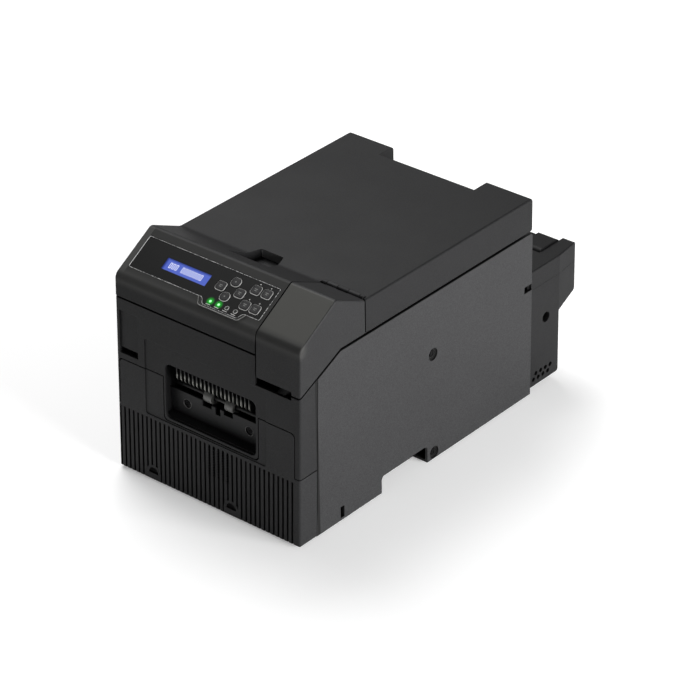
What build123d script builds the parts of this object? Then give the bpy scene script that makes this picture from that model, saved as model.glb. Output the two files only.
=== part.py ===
from build123d import *
import os
from math import atan2, cos, radians, sin, tan

os.makedirs("parts", exist_ok=True)

# Overall size, in millimetres: X across the front, Y from front to back, Z up
overall_width = 224.0
overall_depth = 418.0
lid_height = 218.0
ridge_rise = 17.5
ridge_height = lid_height + ridge_rise
half_width = overall_width / 2
front_y = -overall_depth / 2
body_bottom = 2.0

# The front leans back a little, and the body ends where the label feeder begins
lean = 2.0
body_depth = 343.0
body_rear = front_y + body_depth
outer_round = 2.0
seam = 1.0
running_fit = 0.05

# Top cover: a flat lid with a raised, sloped control panel at its front
skirt_height = 34.0
cover_bottom = lid_height - skirt_height
cover_wall = 3.0
bend_drop = 12.5
bend_height = lid_height - bend_drop
ridge_y = front_y + 57.0
lid_front_y = front_y + 95.5
bend_round = 9.0
ridge_round = 5.0
rear_round = 4.0
cover_gap = 1.8
side_gap = 2.8
rear_wall_bottom = lid_height - 21.0
scoop_length = 14.0
scoop_centre = -9.0
scoop_depth = 9.0
notch_half = 58.3
notch_length = 22.0

# Release handle: the right-hand corner of the panel, hinged on a barrel at its back
handle_left = 60.5
handle_bottom = cover_bottom - 26.4
handle_flat_y = front_y + 62.0
handle_gap = 1.4
barrel_radius = 2.6
barrel_y = lid_front_y + 3.5
barrel_z = lid_height - 0.8
barrel_pin_radius = 1.2
barrel_right = half_width - 3.5
grip_right = half_width - 10.0
grip_height = 3.4

# Control panel overlay, screen, keys and lamps, placed on the slope
overlay_left = 8.0 - half_width
overlay_right = 55.5
overlay_low = 11.8
overlay_high = 48.0
overlay_thickness = 1.0
overlay_recess = 1.2
tab_left = -9.0
tab_right = 33.0
tab_low = 5.6
tab_lip = 2.8
tab_lip_height = 0.9
screen_left = -71.5
screen_right = -18.0
screen_low = 22.5
screen_high = 35.0
key_width = 9.4
key_height = 8.4
key_round = 2.0
round_key_corner = 3.9
key_proud = 0.7
key_bottom = 4.6
key_fit = 0.3
key_spots = {
    "back": (-2.6, 28.9),
    "up": (9.2, 37.6),
    "down": (8.0, 20.6),
    "enter": (20.0, 28.9),
    "menu": (33.0, 37.8),
    "cancel": (45.6, 38.0),
    "online": (32.4, 20.4),
    "feed": (44.4, 20.4),
}
lamp_first_x = -2.4
lamp_pitch = 10.0
lamp_count = 4
lamp_height = 11.4
lamp_radius = 1.5
board_depth = 6.0
board_thickness = 1.6

# Front covers
front_wall = 3.0
strip_depth = 23.5
lower_top = 119.6
strip_seam = 73.6
tongue_left = -53.5
tongue_right = 61.5
tongue_bottom = 74.5
leg_left = 2.8 - half_width
leg_right = half_width - 5.7
exit_left = -51.5
exit_right = 59.0
exit_bottom = 77.0
exit_top = 134.0
exit_round = 6.0
finger_slot_bottom = handle_bottom - 5.0
grip_left_x = (4.4 - half_width, 27.2 - half_width)
grip_left_z = (131.0, 170.0)
grip_slot_bottom = 125.4
centre_x = (35.5 - half_width, half_width - 40.0)
centre_z = (72.0, 151.0)
centre_depth = 0.8

# Grooves and half-round foot holes in the lower front cover
groove_count = 39
groove_pitch = 5.58
groove_width = 2.3
groove_depth = 2.0
groove_top = 68.5
groove_centre = -3.0
arch_x = (-68.5, 28.5)
arch_z = 9.5
arch_radius = 6.2
arch_rim = 2.8
air_hole_width = 3.4
air_hole_height = 1.4
air_hole_pitch = 2.8
air_hole_rows = 11
air_hole_columns = 5
air_hole_middle = 51.5

# Side panels
panel_wall = 3.0
panel_top = cover_bottom - side_gap
lift_front = front_y + 117.0
lift_rear = front_y + 184.0
lift_height = 20.5
screw_recess_radius = 6.4
screw_recess_depth = 1.6
screw_spots = [(front_y + 192.4, 116.9), (front_y + 193.8, 9.0)]

# Base tray and feet
tray_front = front_y + 8.0
tray_rear = body_rear - 3.5
tray_top = 14.0
tray_floor = 2.5
foot_radius = 10.0

# Steel side frames and the parts between them
frame_x = half_width - 24.0
frame_wall = 2.0
frame_top = cover_bottom - 8.0
frame_front = front_y + 30.0
frame_rear = front_y + 320.0
shaft_radius = 4.0

# Paper path height and the four image units along it
path_z = 120.0
nip_gap = 0.3
drum_radius = 15.0
drum_pitch = 50.0
drum_first_y = front_y + 115.0
plate_out = frame_x - 13.0
plate_in = plate_out - 4.0
drum_half = plate_in - 5.0
unit_depth = 33.5
unit_top = 152.0
toner_top = 182.0
toner_back = 15.0
toner_length = 29.5
toner_half = frame_x - 12.0
colours = ["black", "yellow", "magenta", "cyan"]

# Exposure heads hanging from the lid
head_half_thickness = 4.0
head_gap = 1.2
head_height = 12.0

# Belt unit
belt_thickness = 0.8
belt_clearance = 0.35
belt_roller_radius = 10.0
belt_front_y = front_y + 98.0
belt_rear_y = front_y + 288.0
belt_rail_in = plate_out - 5.0

# Fuser
fuser_y = front_y + 61.0
fuser_half_depth = 19.0
fuser_roller_radius = 12.5
fuser_half_height = 30.0
fuser_wall = 3.0
fuser_half = frame_x - 8.0

# Exit rollers behind the opening
exit_roller_y = front_y + 21.5
exit_roller_z = 107.0
exit_roller_radius = 7.0
exit_shaft_radius = 2.5
exit_roller_offset = 13.0
rib_pitch = 4.9
rib_count = 19

# Top cover hinge at the back
hinge_y = front_y + 336.5
hinge_z = cover_bottom + 4.5
hinge_pin_radius = 3.0
hinge_knuckle_radius = 5.5
hinge_spots = (half_width - 42.0, half_width - 14.0)
knuckle_in = half_width - 33.5
knuckle_out = half_width - 21.5

# Latch shaft under the panel
latch_y = front_y + 84.0
latch_z = cover_bottom + 8.0
latch_shaft_radius = 3.0
latch_half = frame_x - 2.0
striker_z = cover_bottom - 20.0
striker_radius = 2.5

# Label feeder behind the body
feeder_half = half_width - 1.0
feeder_wall = 3.0
feeder_step_y = front_y + 388.0
feeder_seam = 117.0
feeder_top_z = 137.0
feeder_bottom = 8.0
feeder_taper = 4.0
feeder_lip_z = 85.0
feeder_step_z = 76.0
feeder_cover_half = feeder_half - 18.6
feeder_cover_rear = -front_y - 7.0
feeder_hinge_y = front_y + 385.0
feeder_hinge_z = 134.0
feeder_barrel = 5.2
feed_roller_y = front_y + 362.0
feed_roller_radius = 8.0
feed_shaft_radius = 3.0
vent_pitch = 7.6
vent_radius = 2.4

# Inlet and switch in the rear cover
inlet_x = (-60.0, -30.0)
inlet_z = (panel_top - 33.2, panel_top - 9.2)
rocker_x = -15.0
rocker_half = 6.5
rocker_tilt = 7.0

# Heights and places that follow from the sizes above
front_plane = Plane(
    origin=(0, front_y, 0),
    x_dir=(1, 0, 0),
    z_dir=(0, -cos(radians(lean)), sin(radians(lean))),
)
drum_z = path_z + nip_gap + drum_radius
belt_outer = belt_roller_radius + belt_clearance + belt_thickness
belt_z = path_z - belt_outer
exit_centre = (exit_left + exit_right) / 2
head_bottom = drum_z + drum_radius + head_gap
drum_spots = [drum_first_y + n * drum_pitch for n in range(len(colours))]


def lean_y(height):
    """Where the leaning front face stands at this height."""
    return front_y + tan(radians(lean)) * height


bend_y = lean_y(bend_height)
slope_angle = atan2(ridge_height - bend_height, ridge_y - bend_y)
panel_plane = Plane(
    origin=(0, bend_y, bend_height),
    x_dir=(1, 0, 0),
    z_dir=(0, -sin(slope_angle), cos(slope_angle)),
)
handle_slope = (cover_bottom - handle_bottom) / (handle_flat_y - lean_y(handle_bottom))


def parting_z(y, gap=0.0):
    """Height of the handle's lower edge on the right side, less a gap."""
    rise = handle_slope * (y - lean_y(handle_bottom))
    return min(handle_bottom + rise, cover_bottom) - gap


def finish(piece, name):
    """Label a finished piece and write it to its own file."""
    piece.part.label = name
    export_step(piece.part, "parts/" + name + ".step")


def block(x_range, y_range, z_range, mode=Mode.ADD):
    """A straight block between two corners, joined to or cut from the open part."""
    with BuildSketch(Plane.XY.offset(z_range[0])) as outline:
        with Locations(((x_range[0] + x_range[1]) / 2, (y_range[0] + y_range[1]) / 2)):
            Rectangle(x_range[1] - x_range[0], y_range[1] - y_range[0])
    extrude(outline.sketch, amount=z_range[1] - z_range[0], mode=mode)


def rod(x_range, y, z, radius, mode=Mode.ADD):
    """A round rod or hole along X."""
    with BuildSketch(Plane.YZ.offset(x_range[0])) as outline:
        with Locations((y, z)):
            Circle(radius)
    extrude(outline.sketch, amount=x_range[1] - x_range[0], mode=mode)


def post(x, z, y_range, radius, mode=Mode.ADD):
    """A round post or hole along Y."""
    with BuildSketch(Plane.XZ.offset(-y_range[1])) as outline:
        with Locations((x, z)):
            Circle(radius)
    extrude(outline.sketch, amount=y_range[1] - y_range[0], mode=mode)


def both_sides(near, far):
    """The same X range on the left and on the right."""
    return ((-far, -near), (near, far))


def side_profile(points, radii, x_range, mode=Mode.ADD):
    """A side-view outline with rounded corners, extruded across X."""
    with BuildSketch(Plane.YZ.offset(x_range[0])) as outline:
        with BuildLine():
            if radii:
                FilletPolyline(*points, radius=radii, close=True)
            else:
                Polyline(*points, close=True)
        make_face()
    extrude(outline.sketch, amount=x_range[1] - x_range[0], mode=mode)


def front_profile(points, radii, depth, mode=Mode.ADD, plane=front_plane):
    """A front-view outline on the leaning front, extruded inwards."""
    with BuildSketch(plane) as outline:
        with BuildLine():
            FilletPolyline(*points, radius=radii, close=True)
        make_face()
    extrude(outline.sketch, amount=-depth, mode=mode)


# Top cover, moulded in one piece with the control panel housing
with BuildPart() as top_cover:
    side_profile(
        [
            (lean_y(cover_bottom), cover_bottom),
            (bend_y, bend_height),
            (ridge_y, ridge_height),
            (lid_front_y, lid_height),
            (body_rear, lid_height),
            (body_rear, cover_bottom),
        ],
        [0, bend_round, ridge_round, 12.0, rear_round, 0],
        (-half_width, half_width),
    )
    pocket_left = handle_left - handle_gap
    pocket_rear = lid_front_y + handle_gap
    block((pocket_left, half_width), (front_y, pocket_rear), (cover_bottom, ridge_height), Mode.SUBTRACT)
    notch_y = (body_rear - notch_length, body_rear)
    block((-notch_half, notch_half), notch_y, (cover_bottom, lid_height), Mode.SUBTRACT)
    with BuildSketch(Plane.XY.offset(lid_height - scoop_depth)):
        with BuildLine():
            FilletPolyline(
                (scoop_centre - 26.0, ridge_y + 16.0),
                (scoop_centre - 13.5, lid_front_y + scoop_length),
                (scoop_centre + 13.5, lid_front_y + scoop_length),
                (scoop_centre + 26.0, ridge_y + 16.0),
                radius=[0, 2.5, 2.5, 0],
                close=True,
            )
        make_face()
    extrude(amount=ridge_height - lid_height, mode=Mode.SUBTRACT)
    offset(amount=-cover_wall, openings=top_cover.faces().filter_by(Axis.Z).group_by(Axis.Z)[0])
    # The outer long edges and the notch's upper edges are rounded
    rim = top_cover.edges().filter_by_position(Axis.X, -half_width, -half_width)
    rim += top_cover.edges().filter_by_position(Axis.X, half_width, half_width)
    rim = rim.filter_by(lambda e: (e @ 0.5).Z > cover_bottom + 1 and (e @ 0.5).Y < body_rear - 1)
    rim = rim.filter_by(lambda e: (e @ 0.5).X < 0 or (e @ 0.5).Z > lid_height - 5)
    fillet(rim, outer_round)
    # The back wall stops higher, so that it clears the hinge brackets
    wall_y = (body_rear - cover_wall, body_rear)
    for near, far in both_sides(notch_half + cover_wall, half_width - cover_wall):
        block((near, far), wall_y, (cover_bottom, rear_wall_bottom), Mode.SUBTRACT)
    # The skirts' lower rear corners are rounded, so that they clear the side panels
    with BuildSketch(Plane.YZ.offset(-half_width)):
        with Locations((body_rear - rear_round / 2, cover_bottom + rear_round / 2)):
            Rectangle(rear_round, rear_round)
        with Locations((body_rear - rear_round, cover_bottom + rear_round)):
            Circle(rear_round, mode=Mode.SUBTRACT)
    extrude(amount=overall_width, mode=Mode.SUBTRACT)
    # Slot for the handle's barrel, and the cover's own barrel sections with their pin
    slot_rear = barrel_y + barrel_radius + 0.5
    slot_bottom = barrel_z - barrel_radius - 0.5
    slot_x = (pocket_left, half_width - cover_wall)
    block(slot_x, (lid_front_y, slot_rear), (slot_bottom, ridge_height), Mode.SUBTRACT)
    for start, end in ((0.0, 0.115), (0.385, 0.635), (0.917, 1.0)):
        left = handle_left + start * (barrel_right - handle_left)
        right = handle_left + end * (barrel_right - handle_left)
        rod((left, right), barrel_y, barrel_z, barrel_radius)
        block((left, right), (barrel_y, slot_rear + 1), (barrel_z - 2.2, lid_height))
    rod((handle_left, barrel_right), barrel_y, barrel_z, barrel_pin_radius)
    # Raised lip that follows the overlay's lamp tab round its lower side
    with BuildSketch(panel_plane) as lip:
        with BuildLine():
            FilletPolyline(
                (tab_left - 4 - 1.5 * tab_lip, overlay_low),
                (tab_left - tab_lip, tab_low - tab_lip),
                (tab_right + tab_lip, tab_low - tab_lip),
                (tab_right + 4 + 1.5 * tab_lip, overlay_low),
                radius=[0, 4, 4, 0],
                close=True,
            )
        make_face()
    extrude(lip.sketch, amount=tab_lip_height, taper=35)
    extrude(lip.sketch, amount=-2.0)
    # Recess of the panel overlay, with key, screen and lamp holes
    with BuildSketch(panel_plane.offset(-overlay_recess)):
        with BuildLine():
            FilletPolyline(
                (overlay_left, overlay_low),
                (tab_left - 4, overlay_low),
                (tab_left, tab_low),
                (tab_right, tab_low),
                (tab_right + 4, overlay_low),
                (overlay_right, overlay_low),
                (overlay_right, overlay_high),
                (overlay_left, overlay_high),
                radius=[2, 2, 2.5, 2.5, 2, 2, 2, 2],
                close=True,
            )
        make_face()
    extrude(amount=overlay_recess + 1, mode=Mode.SUBTRACT)
    with BuildSketch(panel_plane):
        with Locations(*key_spots.values()):
            RectangleRounded(key_width + 2 * key_fit, key_height + 2 * key_fit, key_round + key_fit)
        with Locations(((screen_left + screen_right) / 2, (screen_low + screen_high) / 2)):
            Rectangle(screen_right - screen_left, screen_high - screen_low)
        for n in range(lamp_count):
            with Locations((lamp_first_x + n * lamp_pitch, lamp_height)):
                Circle(lamp_radius)
    extrude(amount=-cover_wall - 0.5, mode=Mode.SUBTRACT)
    # Posts that carry the panel board
    with BuildSketch(panel_plane.offset(-board_depth)):
        with Locations(((overlay_left + overlay_right) / 2, 29)):
            with GridLocations(overlay_right - overlay_left - 12, 33.5, 2, 2):
                Circle(2.8)
    extrude(amount=board_depth - cover_wall + 0.3)
    # Hinge knuckles under the rear ears
    for near, far in both_sides(knuckle_in, knuckle_out):
        rod((near, far), hinge_y, hinge_z, hinge_knuckle_radius)
        block((near, far), (hinge_y - 3, hinge_y + 3), (hinge_z, lid_height - cover_wall + 0.5))
        rod((near, far), hinge_y, hinge_z, hinge_pin_radius + running_fit, Mode.SUBTRACT)
    # Bearings of the latch shaft, one on its own web and one in the pocket wall
    web_x = (14.0 - latch_half, 18.0 - latch_half)
    block(web_x, (latch_y - 6, latch_y + 6), (latch_z - 6, lid_height + 1.5))
    rod((web_x[0] - 1, handle_left), latch_y, latch_z, latch_shaft_radius + running_fit, Mode.SUBTRACT)
finish(top_cover, "top_cover")

# Release handle with the barrel sections that turn on the cover's pin
with BuildPart() as release_handle:
    side_profile(
        [
            (lean_y(handle_bottom), handle_bottom),
            (bend_y, bend_height),
            (ridge_y, ridge_height),
            (lid_front_y, lid_height),
            (lid_front_y, cover_bottom),
            (handle_flat_y, cover_bottom),
        ],
        [0, bend_round, ridge_round, 0, 0, 0],
        (handle_left, half_width),
    )
    open_faces = release_handle.faces().filter_by(lambda f: f.normal_at().Z < -0.3)
    open_faces += release_handle.faces().sort_by(Axis.X)[0:1]
    open_faces += release_handle.faces().sort_by(Axis.Y)[-1:]
    offset(amount=-cover_wall, openings=open_faces)
    corner = release_handle.edges().filter_by_position(Axis.X, half_width, half_width)
    corner = corner.filter_by(lambda e: (e @ 0.5).Y < lid_front_y - 1)
    corner = corner.filter_by(lambda e: (e @ 0.5).Z > parting_z((e @ 0.5).Y) + 1)
    fillet(corner, outer_round)
    grip_z = (handle_bottom - 1, handle_bottom + grip_height)
    block((handle_left, grip_right), (front_y, front_y + 13), grip_z, Mode.SUBTRACT)
    for start, end in ((0.125, 0.375), (0.646, 0.906)):
        left = handle_left + start * (barrel_right - handle_left)
        right = handle_left + end * (barrel_right - handle_left)
        rod((left, right), barrel_y, barrel_z, barrel_radius)
        block((left, right), (lid_front_y - 2, barrel_y), (barrel_z - 2.2, lid_height - 0.4))
        rod((left, right), barrel_y, barrel_z, barrel_pin_radius + running_fit, Mode.SUBTRACT)
finish(release_handle, "release_handle")

# Latch shaft with a hook at each end
with BuildPart() as latch_shaft:
    rod((-latch_half, latch_half), latch_y, latch_z, latch_shaft_radius)
    for near, far in both_sides(latch_half - 6, latch_half):
        side_profile(
            [
                (latch_y - 5, latch_z + 5),
                (latch_y + 5, latch_z + 5),
                (latch_y + 3, latch_z - 20),
                (latch_y - 1, striker_z - 2),
                (latch_y - 5, striker_z - 4),
            ],
            [3, 3, 2, 2, 1],
            (near, far),
        )
finish(latch_shaft, "latch_shaft")

# Overlay plate of the control panel
with BuildPart() as panel_overlay:
    with BuildSketch(panel_plane.offset(-overlay_recess)):
        with BuildLine():
            FilletPolyline(
                (overlay_left, overlay_low),
                (tab_left - 4, overlay_low),
                (tab_left, tab_low),
                (tab_right, tab_low),
                (tab_right + 4, overlay_low),
                (overlay_right, overlay_low),
                (overlay_right, overlay_high),
                (overlay_left, overlay_high),
                radius=[2, 2, 2.5, 2.5, 2, 2, 2, 2],
                close=True,
            )
        make_face()
        offset(amount=-0.2, mode=Mode.REPLACE)
        with Locations(*key_spots.values()):
            RectangleRounded(
                key_width + 2 * key_fit, key_height + 2 * key_fit, key_round + key_fit, mode=Mode.SUBTRACT
            )
        with Locations(((screen_left + screen_right) / 2, (screen_low + screen_high) / 2)):
            Rectangle(screen_right - screen_left, screen_high - screen_low, mode=Mode.SUBTRACT)
        for n in range(lamp_count):
            with Locations((lamp_first_x + n * lamp_pitch, lamp_height)):
                Circle(lamp_radius, mode=Mode.SUBTRACT)
    extrude(amount=overlay_thickness)
finish(panel_overlay, "panel_overlay")

# Screen, resting on the panel board and filling its window
with BuildPart() as lcd_screen:
    with BuildSketch(panel_plane.offset(-board_depth)):
        with Locations(((screen_left + screen_right) / 2, (screen_low + screen_high) / 2)):
            Rectangle(screen_right - screen_left - 0.4, screen_high - screen_low - 0.4)
    extrude(amount=board_depth - 0.5)
finish(lcd_screen, "lcd_screen")

# Lamp lenses, four alike, standing on the board
with BuildPart() as status_lamps:
    with BuildSketch(panel_plane.offset(-board_depth)):
        for n in range(lamp_count):
            with Locations((lamp_first_x + n * lamp_pitch, lamp_height)):
                Circle(lamp_radius - 0.1)
    extrude(amount=board_depth - 0.1)
finish(status_lamps, "status_lamps")

# Circuit board of the panel
with BuildPart() as panel_board:
    with BuildSketch(panel_plane.offset(-board_depth - board_thickness)):
        with Locations(((overlay_left + overlay_right) / 2, 29)):
            Rectangle(overlay_right - overlay_left - 4, 41)
    extrude(amount=board_thickness)
finish(panel_board, "panel_board")

# Eight keys that travel square to the slope
for key_name, spot in key_spots.items():
    corner_round = round_key_corner if key_name in ("up", "down") else key_round
    with BuildPart() as key:
        with BuildSketch(panel_plane.offset(-key_bottom)):
            with Locations(spot):
                RectangleRounded(key_width, key_height, corner_round)
        extrude(amount=key_bottom + key_proud)
        chamfer(key.faces().sort_by(Axis.Z)[-1].edges(), 0.5)
    finish(key, "key_" + key_name)


# Exposure heads, four bars that hang from the lid on arms
with BuildPart() as led_heads:
    for drum_y in drum_spots:
        bar_y = (drum_y - head_half_thickness, drum_y + head_half_thickness)
        head_top = head_bottom + head_height
        block((-drum_half - 2, drum_half + 2), bar_y, (head_bottom, head_top))
        for near, far in both_sides(drum_half - 8.0, drum_half):
            block((near, far), (drum_y - 3, drum_y + 3), (head_top, lid_height - cover_wall))
finish(led_heads, "led_heads")

# Image drums with through shafts
for colour, drum_y in zip(colours, drum_spots):
    with BuildPart() as drum:
        rod((-drum_half, drum_half), drum_y, drum_z, drum_radius)
        rod((-frame_x - 1.5, frame_x + 1.5), drum_y, drum_z, shaft_radius)
    finish(drum, "image_drum_" + colour)

# Image unit frames: developer block, two end plates and a saddle for the cartridge
for colour, drum_y in zip(colours, drum_spots):
    with BuildPart() as unit:
        developer_y = (drum_y - unit_depth + 0.5, drum_y - drum_radius - 1.2)
        block((-plate_in, plate_in), developer_y, (path_z + 3, drum_z + drum_radius))
        block((-50, 50), developer_y, (drum_z + drum_radius, unit_top))
        for near, far in both_sides(plate_in, plate_out):
            plate_y = (drum_y - unit_depth, drum_y + drum_radius + 0.5)
            block((near, far), plate_y, (path_z + 1.7, unit_top - 1.5))
        rod((-plate_out, -plate_in), drum_y, drum_z, shaft_radius + running_fit, Mode.SUBTRACT)
        rod((plate_in, plate_out), drum_y, drum_z, shaft_radius + running_fit, Mode.SUBTRACT)
    finish(unit, "image_unit_" + colour)

# Toner cartridges, each seated on its image unit
for colour, drum_y in zip(colours, drum_spots):
    with BuildPart() as cartridge:
        rear = drum_y - toner_back
        side_profile(
            [
                (rear - toner_length, unit_top),
                (rear, unit_top),
                (rear, toner_top),
                (rear - toner_length, toner_top),
            ],
            [6, 2, 5, 9],
            (-toner_half, toner_half),
        )
    finish(cartridge, "toner_cartridge_" + colour)

# Transfer belt, a closed loop round its two rollers
with BuildPart() as transfer_belt:
    with BuildSketch(Plane.YZ.offset(-drum_half)):
        with Locations(((belt_front_y + belt_rear_y) / 2, belt_z)):
            SlotCenterToCenter(belt_rear_y - belt_front_y, 2 * belt_outer)
            SlotCenterToCenter(
                belt_rear_y - belt_front_y, 2 * (belt_outer - belt_thickness), mode=Mode.SUBTRACT
            )
    extrude(amount=2 * drum_half)
finish(transfer_belt, "transfer_belt")

# Belt frame: two plates joined by cross bars inside the loop
with BuildPart() as belt_frame:
    for near, far in both_sides(belt_rail_in, plate_out):
        block((near, far), (belt_front_y - 8, belt_rear_y + 10), (belt_z - 11, path_z + 1.7))
    for bar_y in (front_y + 134, front_y + 193, front_y + 252):
        block((-belt_rail_in, belt_rail_in), (bar_y - 4, bar_y + 4), (belt_z - 5, belt_z + 4))
    for near, far in both_sides(plate_out, frame_x):
        for lug_y in (front_y + 150, front_y + 240):
            block((near, far), (lug_y, lug_y + 10), (belt_z - 5, belt_z + 3))
    for roller_y in (belt_front_y, belt_rear_y):
        rod((-frame_x, frame_x), roller_y, belt_z, shaft_radius + running_fit, Mode.SUBTRACT)
finish(belt_frame, "belt_frame")

# Belt rollers: the front one is driven, the rear one runs free
with BuildPart() as belt_drive_roller:
    rod((-drum_half - 1, drum_half + 1), belt_front_y, belt_z, belt_roller_radius)
    rod((-frame_x - 1.5, frame_x + 1.5), belt_front_y, belt_z, shaft_radius)
finish(belt_drive_roller, "belt_drive_roller")

with BuildPart() as belt_idler_roller:
    rod((-drum_half - 1, drum_half + 1), belt_rear_y, belt_z, belt_roller_radius)
    rod((-plate_out - 2, plate_out + 2), belt_rear_y, belt_z, shaft_radius)
finish(belt_idler_roller, "belt_idler_roller")

# Fuser: a box with two rollers that press on the paper
fuser_high = path_z + nip_gap + fuser_roller_radius
fuser_low = path_z - nip_gap - fuser_roller_radius
with BuildPart() as fuser_housing:
    fuser_y_range = (fuser_y - fuser_half_depth, fuser_y + fuser_half_depth)
    fuser_z_range = (path_z - fuser_half_height, path_z + fuser_half_height)
    block((-fuser_half, fuser_half), fuser_y_range, fuser_z_range)
    for near, far in both_sides(fuser_half, frame_x):
        block((near, far), (fuser_y - 9, fuser_y + 9), (path_z - 4, path_z + 4))
    inner_y = (fuser_y_range[0] + fuser_wall, fuser_y_range[1] - fuser_wall)
    inner_z = (fuser_z_range[0] + fuser_wall, fuser_z_range[1] - fuser_wall)
    block((-fuser_half + 6, fuser_half - 6), inner_y, inner_z, Mode.SUBTRACT)
    block((-60, 60), fuser_y_range, (path_z - 3, path_z + 3), Mode.SUBTRACT)
    for roller_z in (fuser_high, fuser_low):
        rod((-fuser_half, fuser_half), fuser_y, roller_z, shaft_radius + running_fit, Mode.SUBTRACT)
finish(fuser_housing, "fuser_housing")

with BuildPart() as fuser_roller:
    rod((-fuser_half + 10, fuser_half - 10), fuser_y, fuser_high, fuser_roller_radius)
    rod((-frame_x - 1.5, frame_x + 1.5), fuser_y, fuser_high, shaft_radius)
finish(fuser_roller, "fuser_roller")

with BuildPart() as pressure_roller:
    rod((-fuser_half + 10, fuser_half - 10), fuser_y, fuser_low, fuser_roller_radius)
    rod((-frame_x - 1.5, frame_x + 1.5), fuser_y, fuser_low, shaft_radius)
finish(pressure_roller, "pressure_roller")

# Comb of ribs above the exit path, carried by the fuser's front face
with BuildPart() as exit_comb:
    comb_rear = fuser_y - fuser_half_depth
    comb_top = exit_top - 3.0
    block((exit_left + 3.5, exit_right - 4), (front_y + 16, comb_rear), (comb_top - 3, comb_top))
    for n in range(rib_count):
        rib_x = exit_centre + (n - (rib_count - 1) / 2) * rib_pitch
        side_profile(
            [
                (front_y + 8.5, comb_top),
                (front_y + 8.5, path_z + 1),
                (front_y + 10.5, path_z - 2.5),
                (front_y + 30, path_z - 1),
                (comb_rear - 0.5, path_z + 2.5),
                (comb_rear - 0.5, comb_top),
            ],
            None,
            (rib_x - 0.6, rib_x + 0.6),
        )
finish(exit_comb, "exit_comb")

# Guide under the exit path: a front plate, a rear plate and cheeks for the exit rollers
with BuildPart() as exit_guide:
    guide_x = (exit_left - 6.5, exit_right + 6.5)
    guide_top = exit_roller_z - 3.0
    side_profile(
        [
            (front_y + 6, exit_bottom + 1),
            (front_y + 15.5, exit_bottom + 1),
            (front_y + 14, guide_top),
            (front_y + 16.8, guide_top),
            (front_y + 18.3, exit_bottom - 1.5),
            (front_y + 6, exit_bottom - 1.5),
        ],
        None,
        guide_x,
    )
    guide_rear = exit_roller_y + exit_roller_radius + 1.5
    side_profile(
        [
            (guide_rear, path_z - 4.8),
            (comb_rear - 0.5, path_z - 3),
            (comb_rear - 0.5, path_z - 5.5),
            (guide_rear, path_z - 7.6),
        ],
        None,
        guide_x,
    )
    for near in (exit_left - 6.5, exit_right + 3.5):
        block((near, near + 3), (front_y + 8, comb_rear - 0.5), (exit_bottom - 1.5, path_z + 6))
        rod((near, near + 3), exit_roller_y, exit_roller_z, exit_shaft_radius + running_fit, Mode.SUBTRACT)
    slot_depth = (front_y + 13, front_y + 20)
    for offset_x in (-exit_roller_offset, exit_roller_offset):
        slot_x = (exit_centre + offset_x - 5.6, exit_centre + offset_x + 5.6)
        block(slot_x, slot_depth, (guide_top - 6, guide_top + 1), Mode.SUBTRACT)
    block((exit_centre - 9, exit_centre + 9), slot_depth, (guide_top - 2, guide_top + 1), Mode.SUBTRACT)
    block((exit_centre - 3, exit_centre + 3), slot_depth, (guide_top - 9.5, guide_top + 1), Mode.SUBTRACT)
    for offset_x in (-38, 38):
        post(exit_centre + offset_x, 92.5, (front_y + 13, front_y + 15.8), 4.6, Mode.SUBTRACT)
finish(exit_guide, "exit_guide")

with BuildPart() as exit_roller:
    rod((exit_left - 8.5, exit_right + 8.5), exit_roller_y, exit_roller_z, exit_shaft_radius)
    for offset_x in (-exit_roller_offset, exit_roller_offset):
        roller_x = (exit_centre + offset_x - 4.8, exit_centre + offset_x + 4.8)
        rod(roller_x, exit_roller_y, exit_roller_z, exit_roller_radius)
finish(exit_roller, "exit_roller")

# Screw heads: one pair on each side panel and one pair in the exit guide
with BuildPart() as cover_screws:
    for screw_y, screw_z in screw_spots:
        for near, far in both_sides(half_width - screw_recess_depth, half_width - 0.6):
            rod((near, far), screw_y, screw_z, 4.0)
    for offset_x in (-38, 38):
        post(exit_centre + offset_x, 92.5, (front_y + 14.6, front_y + 15.8), 3.2)
finish(cover_screws, "cover_screws")


def front_corners(piece):
    """The long outer corner edges where the front meets the two sides."""
    edges = piece.edges().filter_by_position(Axis.X, -half_width, -half_width)
    edges += piece.edges().filter_by_position(Axis.X, half_width, half_width)
    edges = edges.filter_by(lambda e: abs((e @ 0.5).Y - lean_y((e @ 0.5).Z)) < 0.5)
    return edges.filter_by(lambda e: e.length > 5)


def side_strip(x_range, low, high_front, high_rear):
    """The part of a front cover that wraps round on to a side."""
    side_profile(
        [
            (lean_y(low), low),
            (lean_y(low) + strip_depth, low),
            (lean_y(high_rear) + strip_depth, high_rear),
            (lean_y(high_front), high_front),
        ],
        None,
        x_range,
    )


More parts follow.
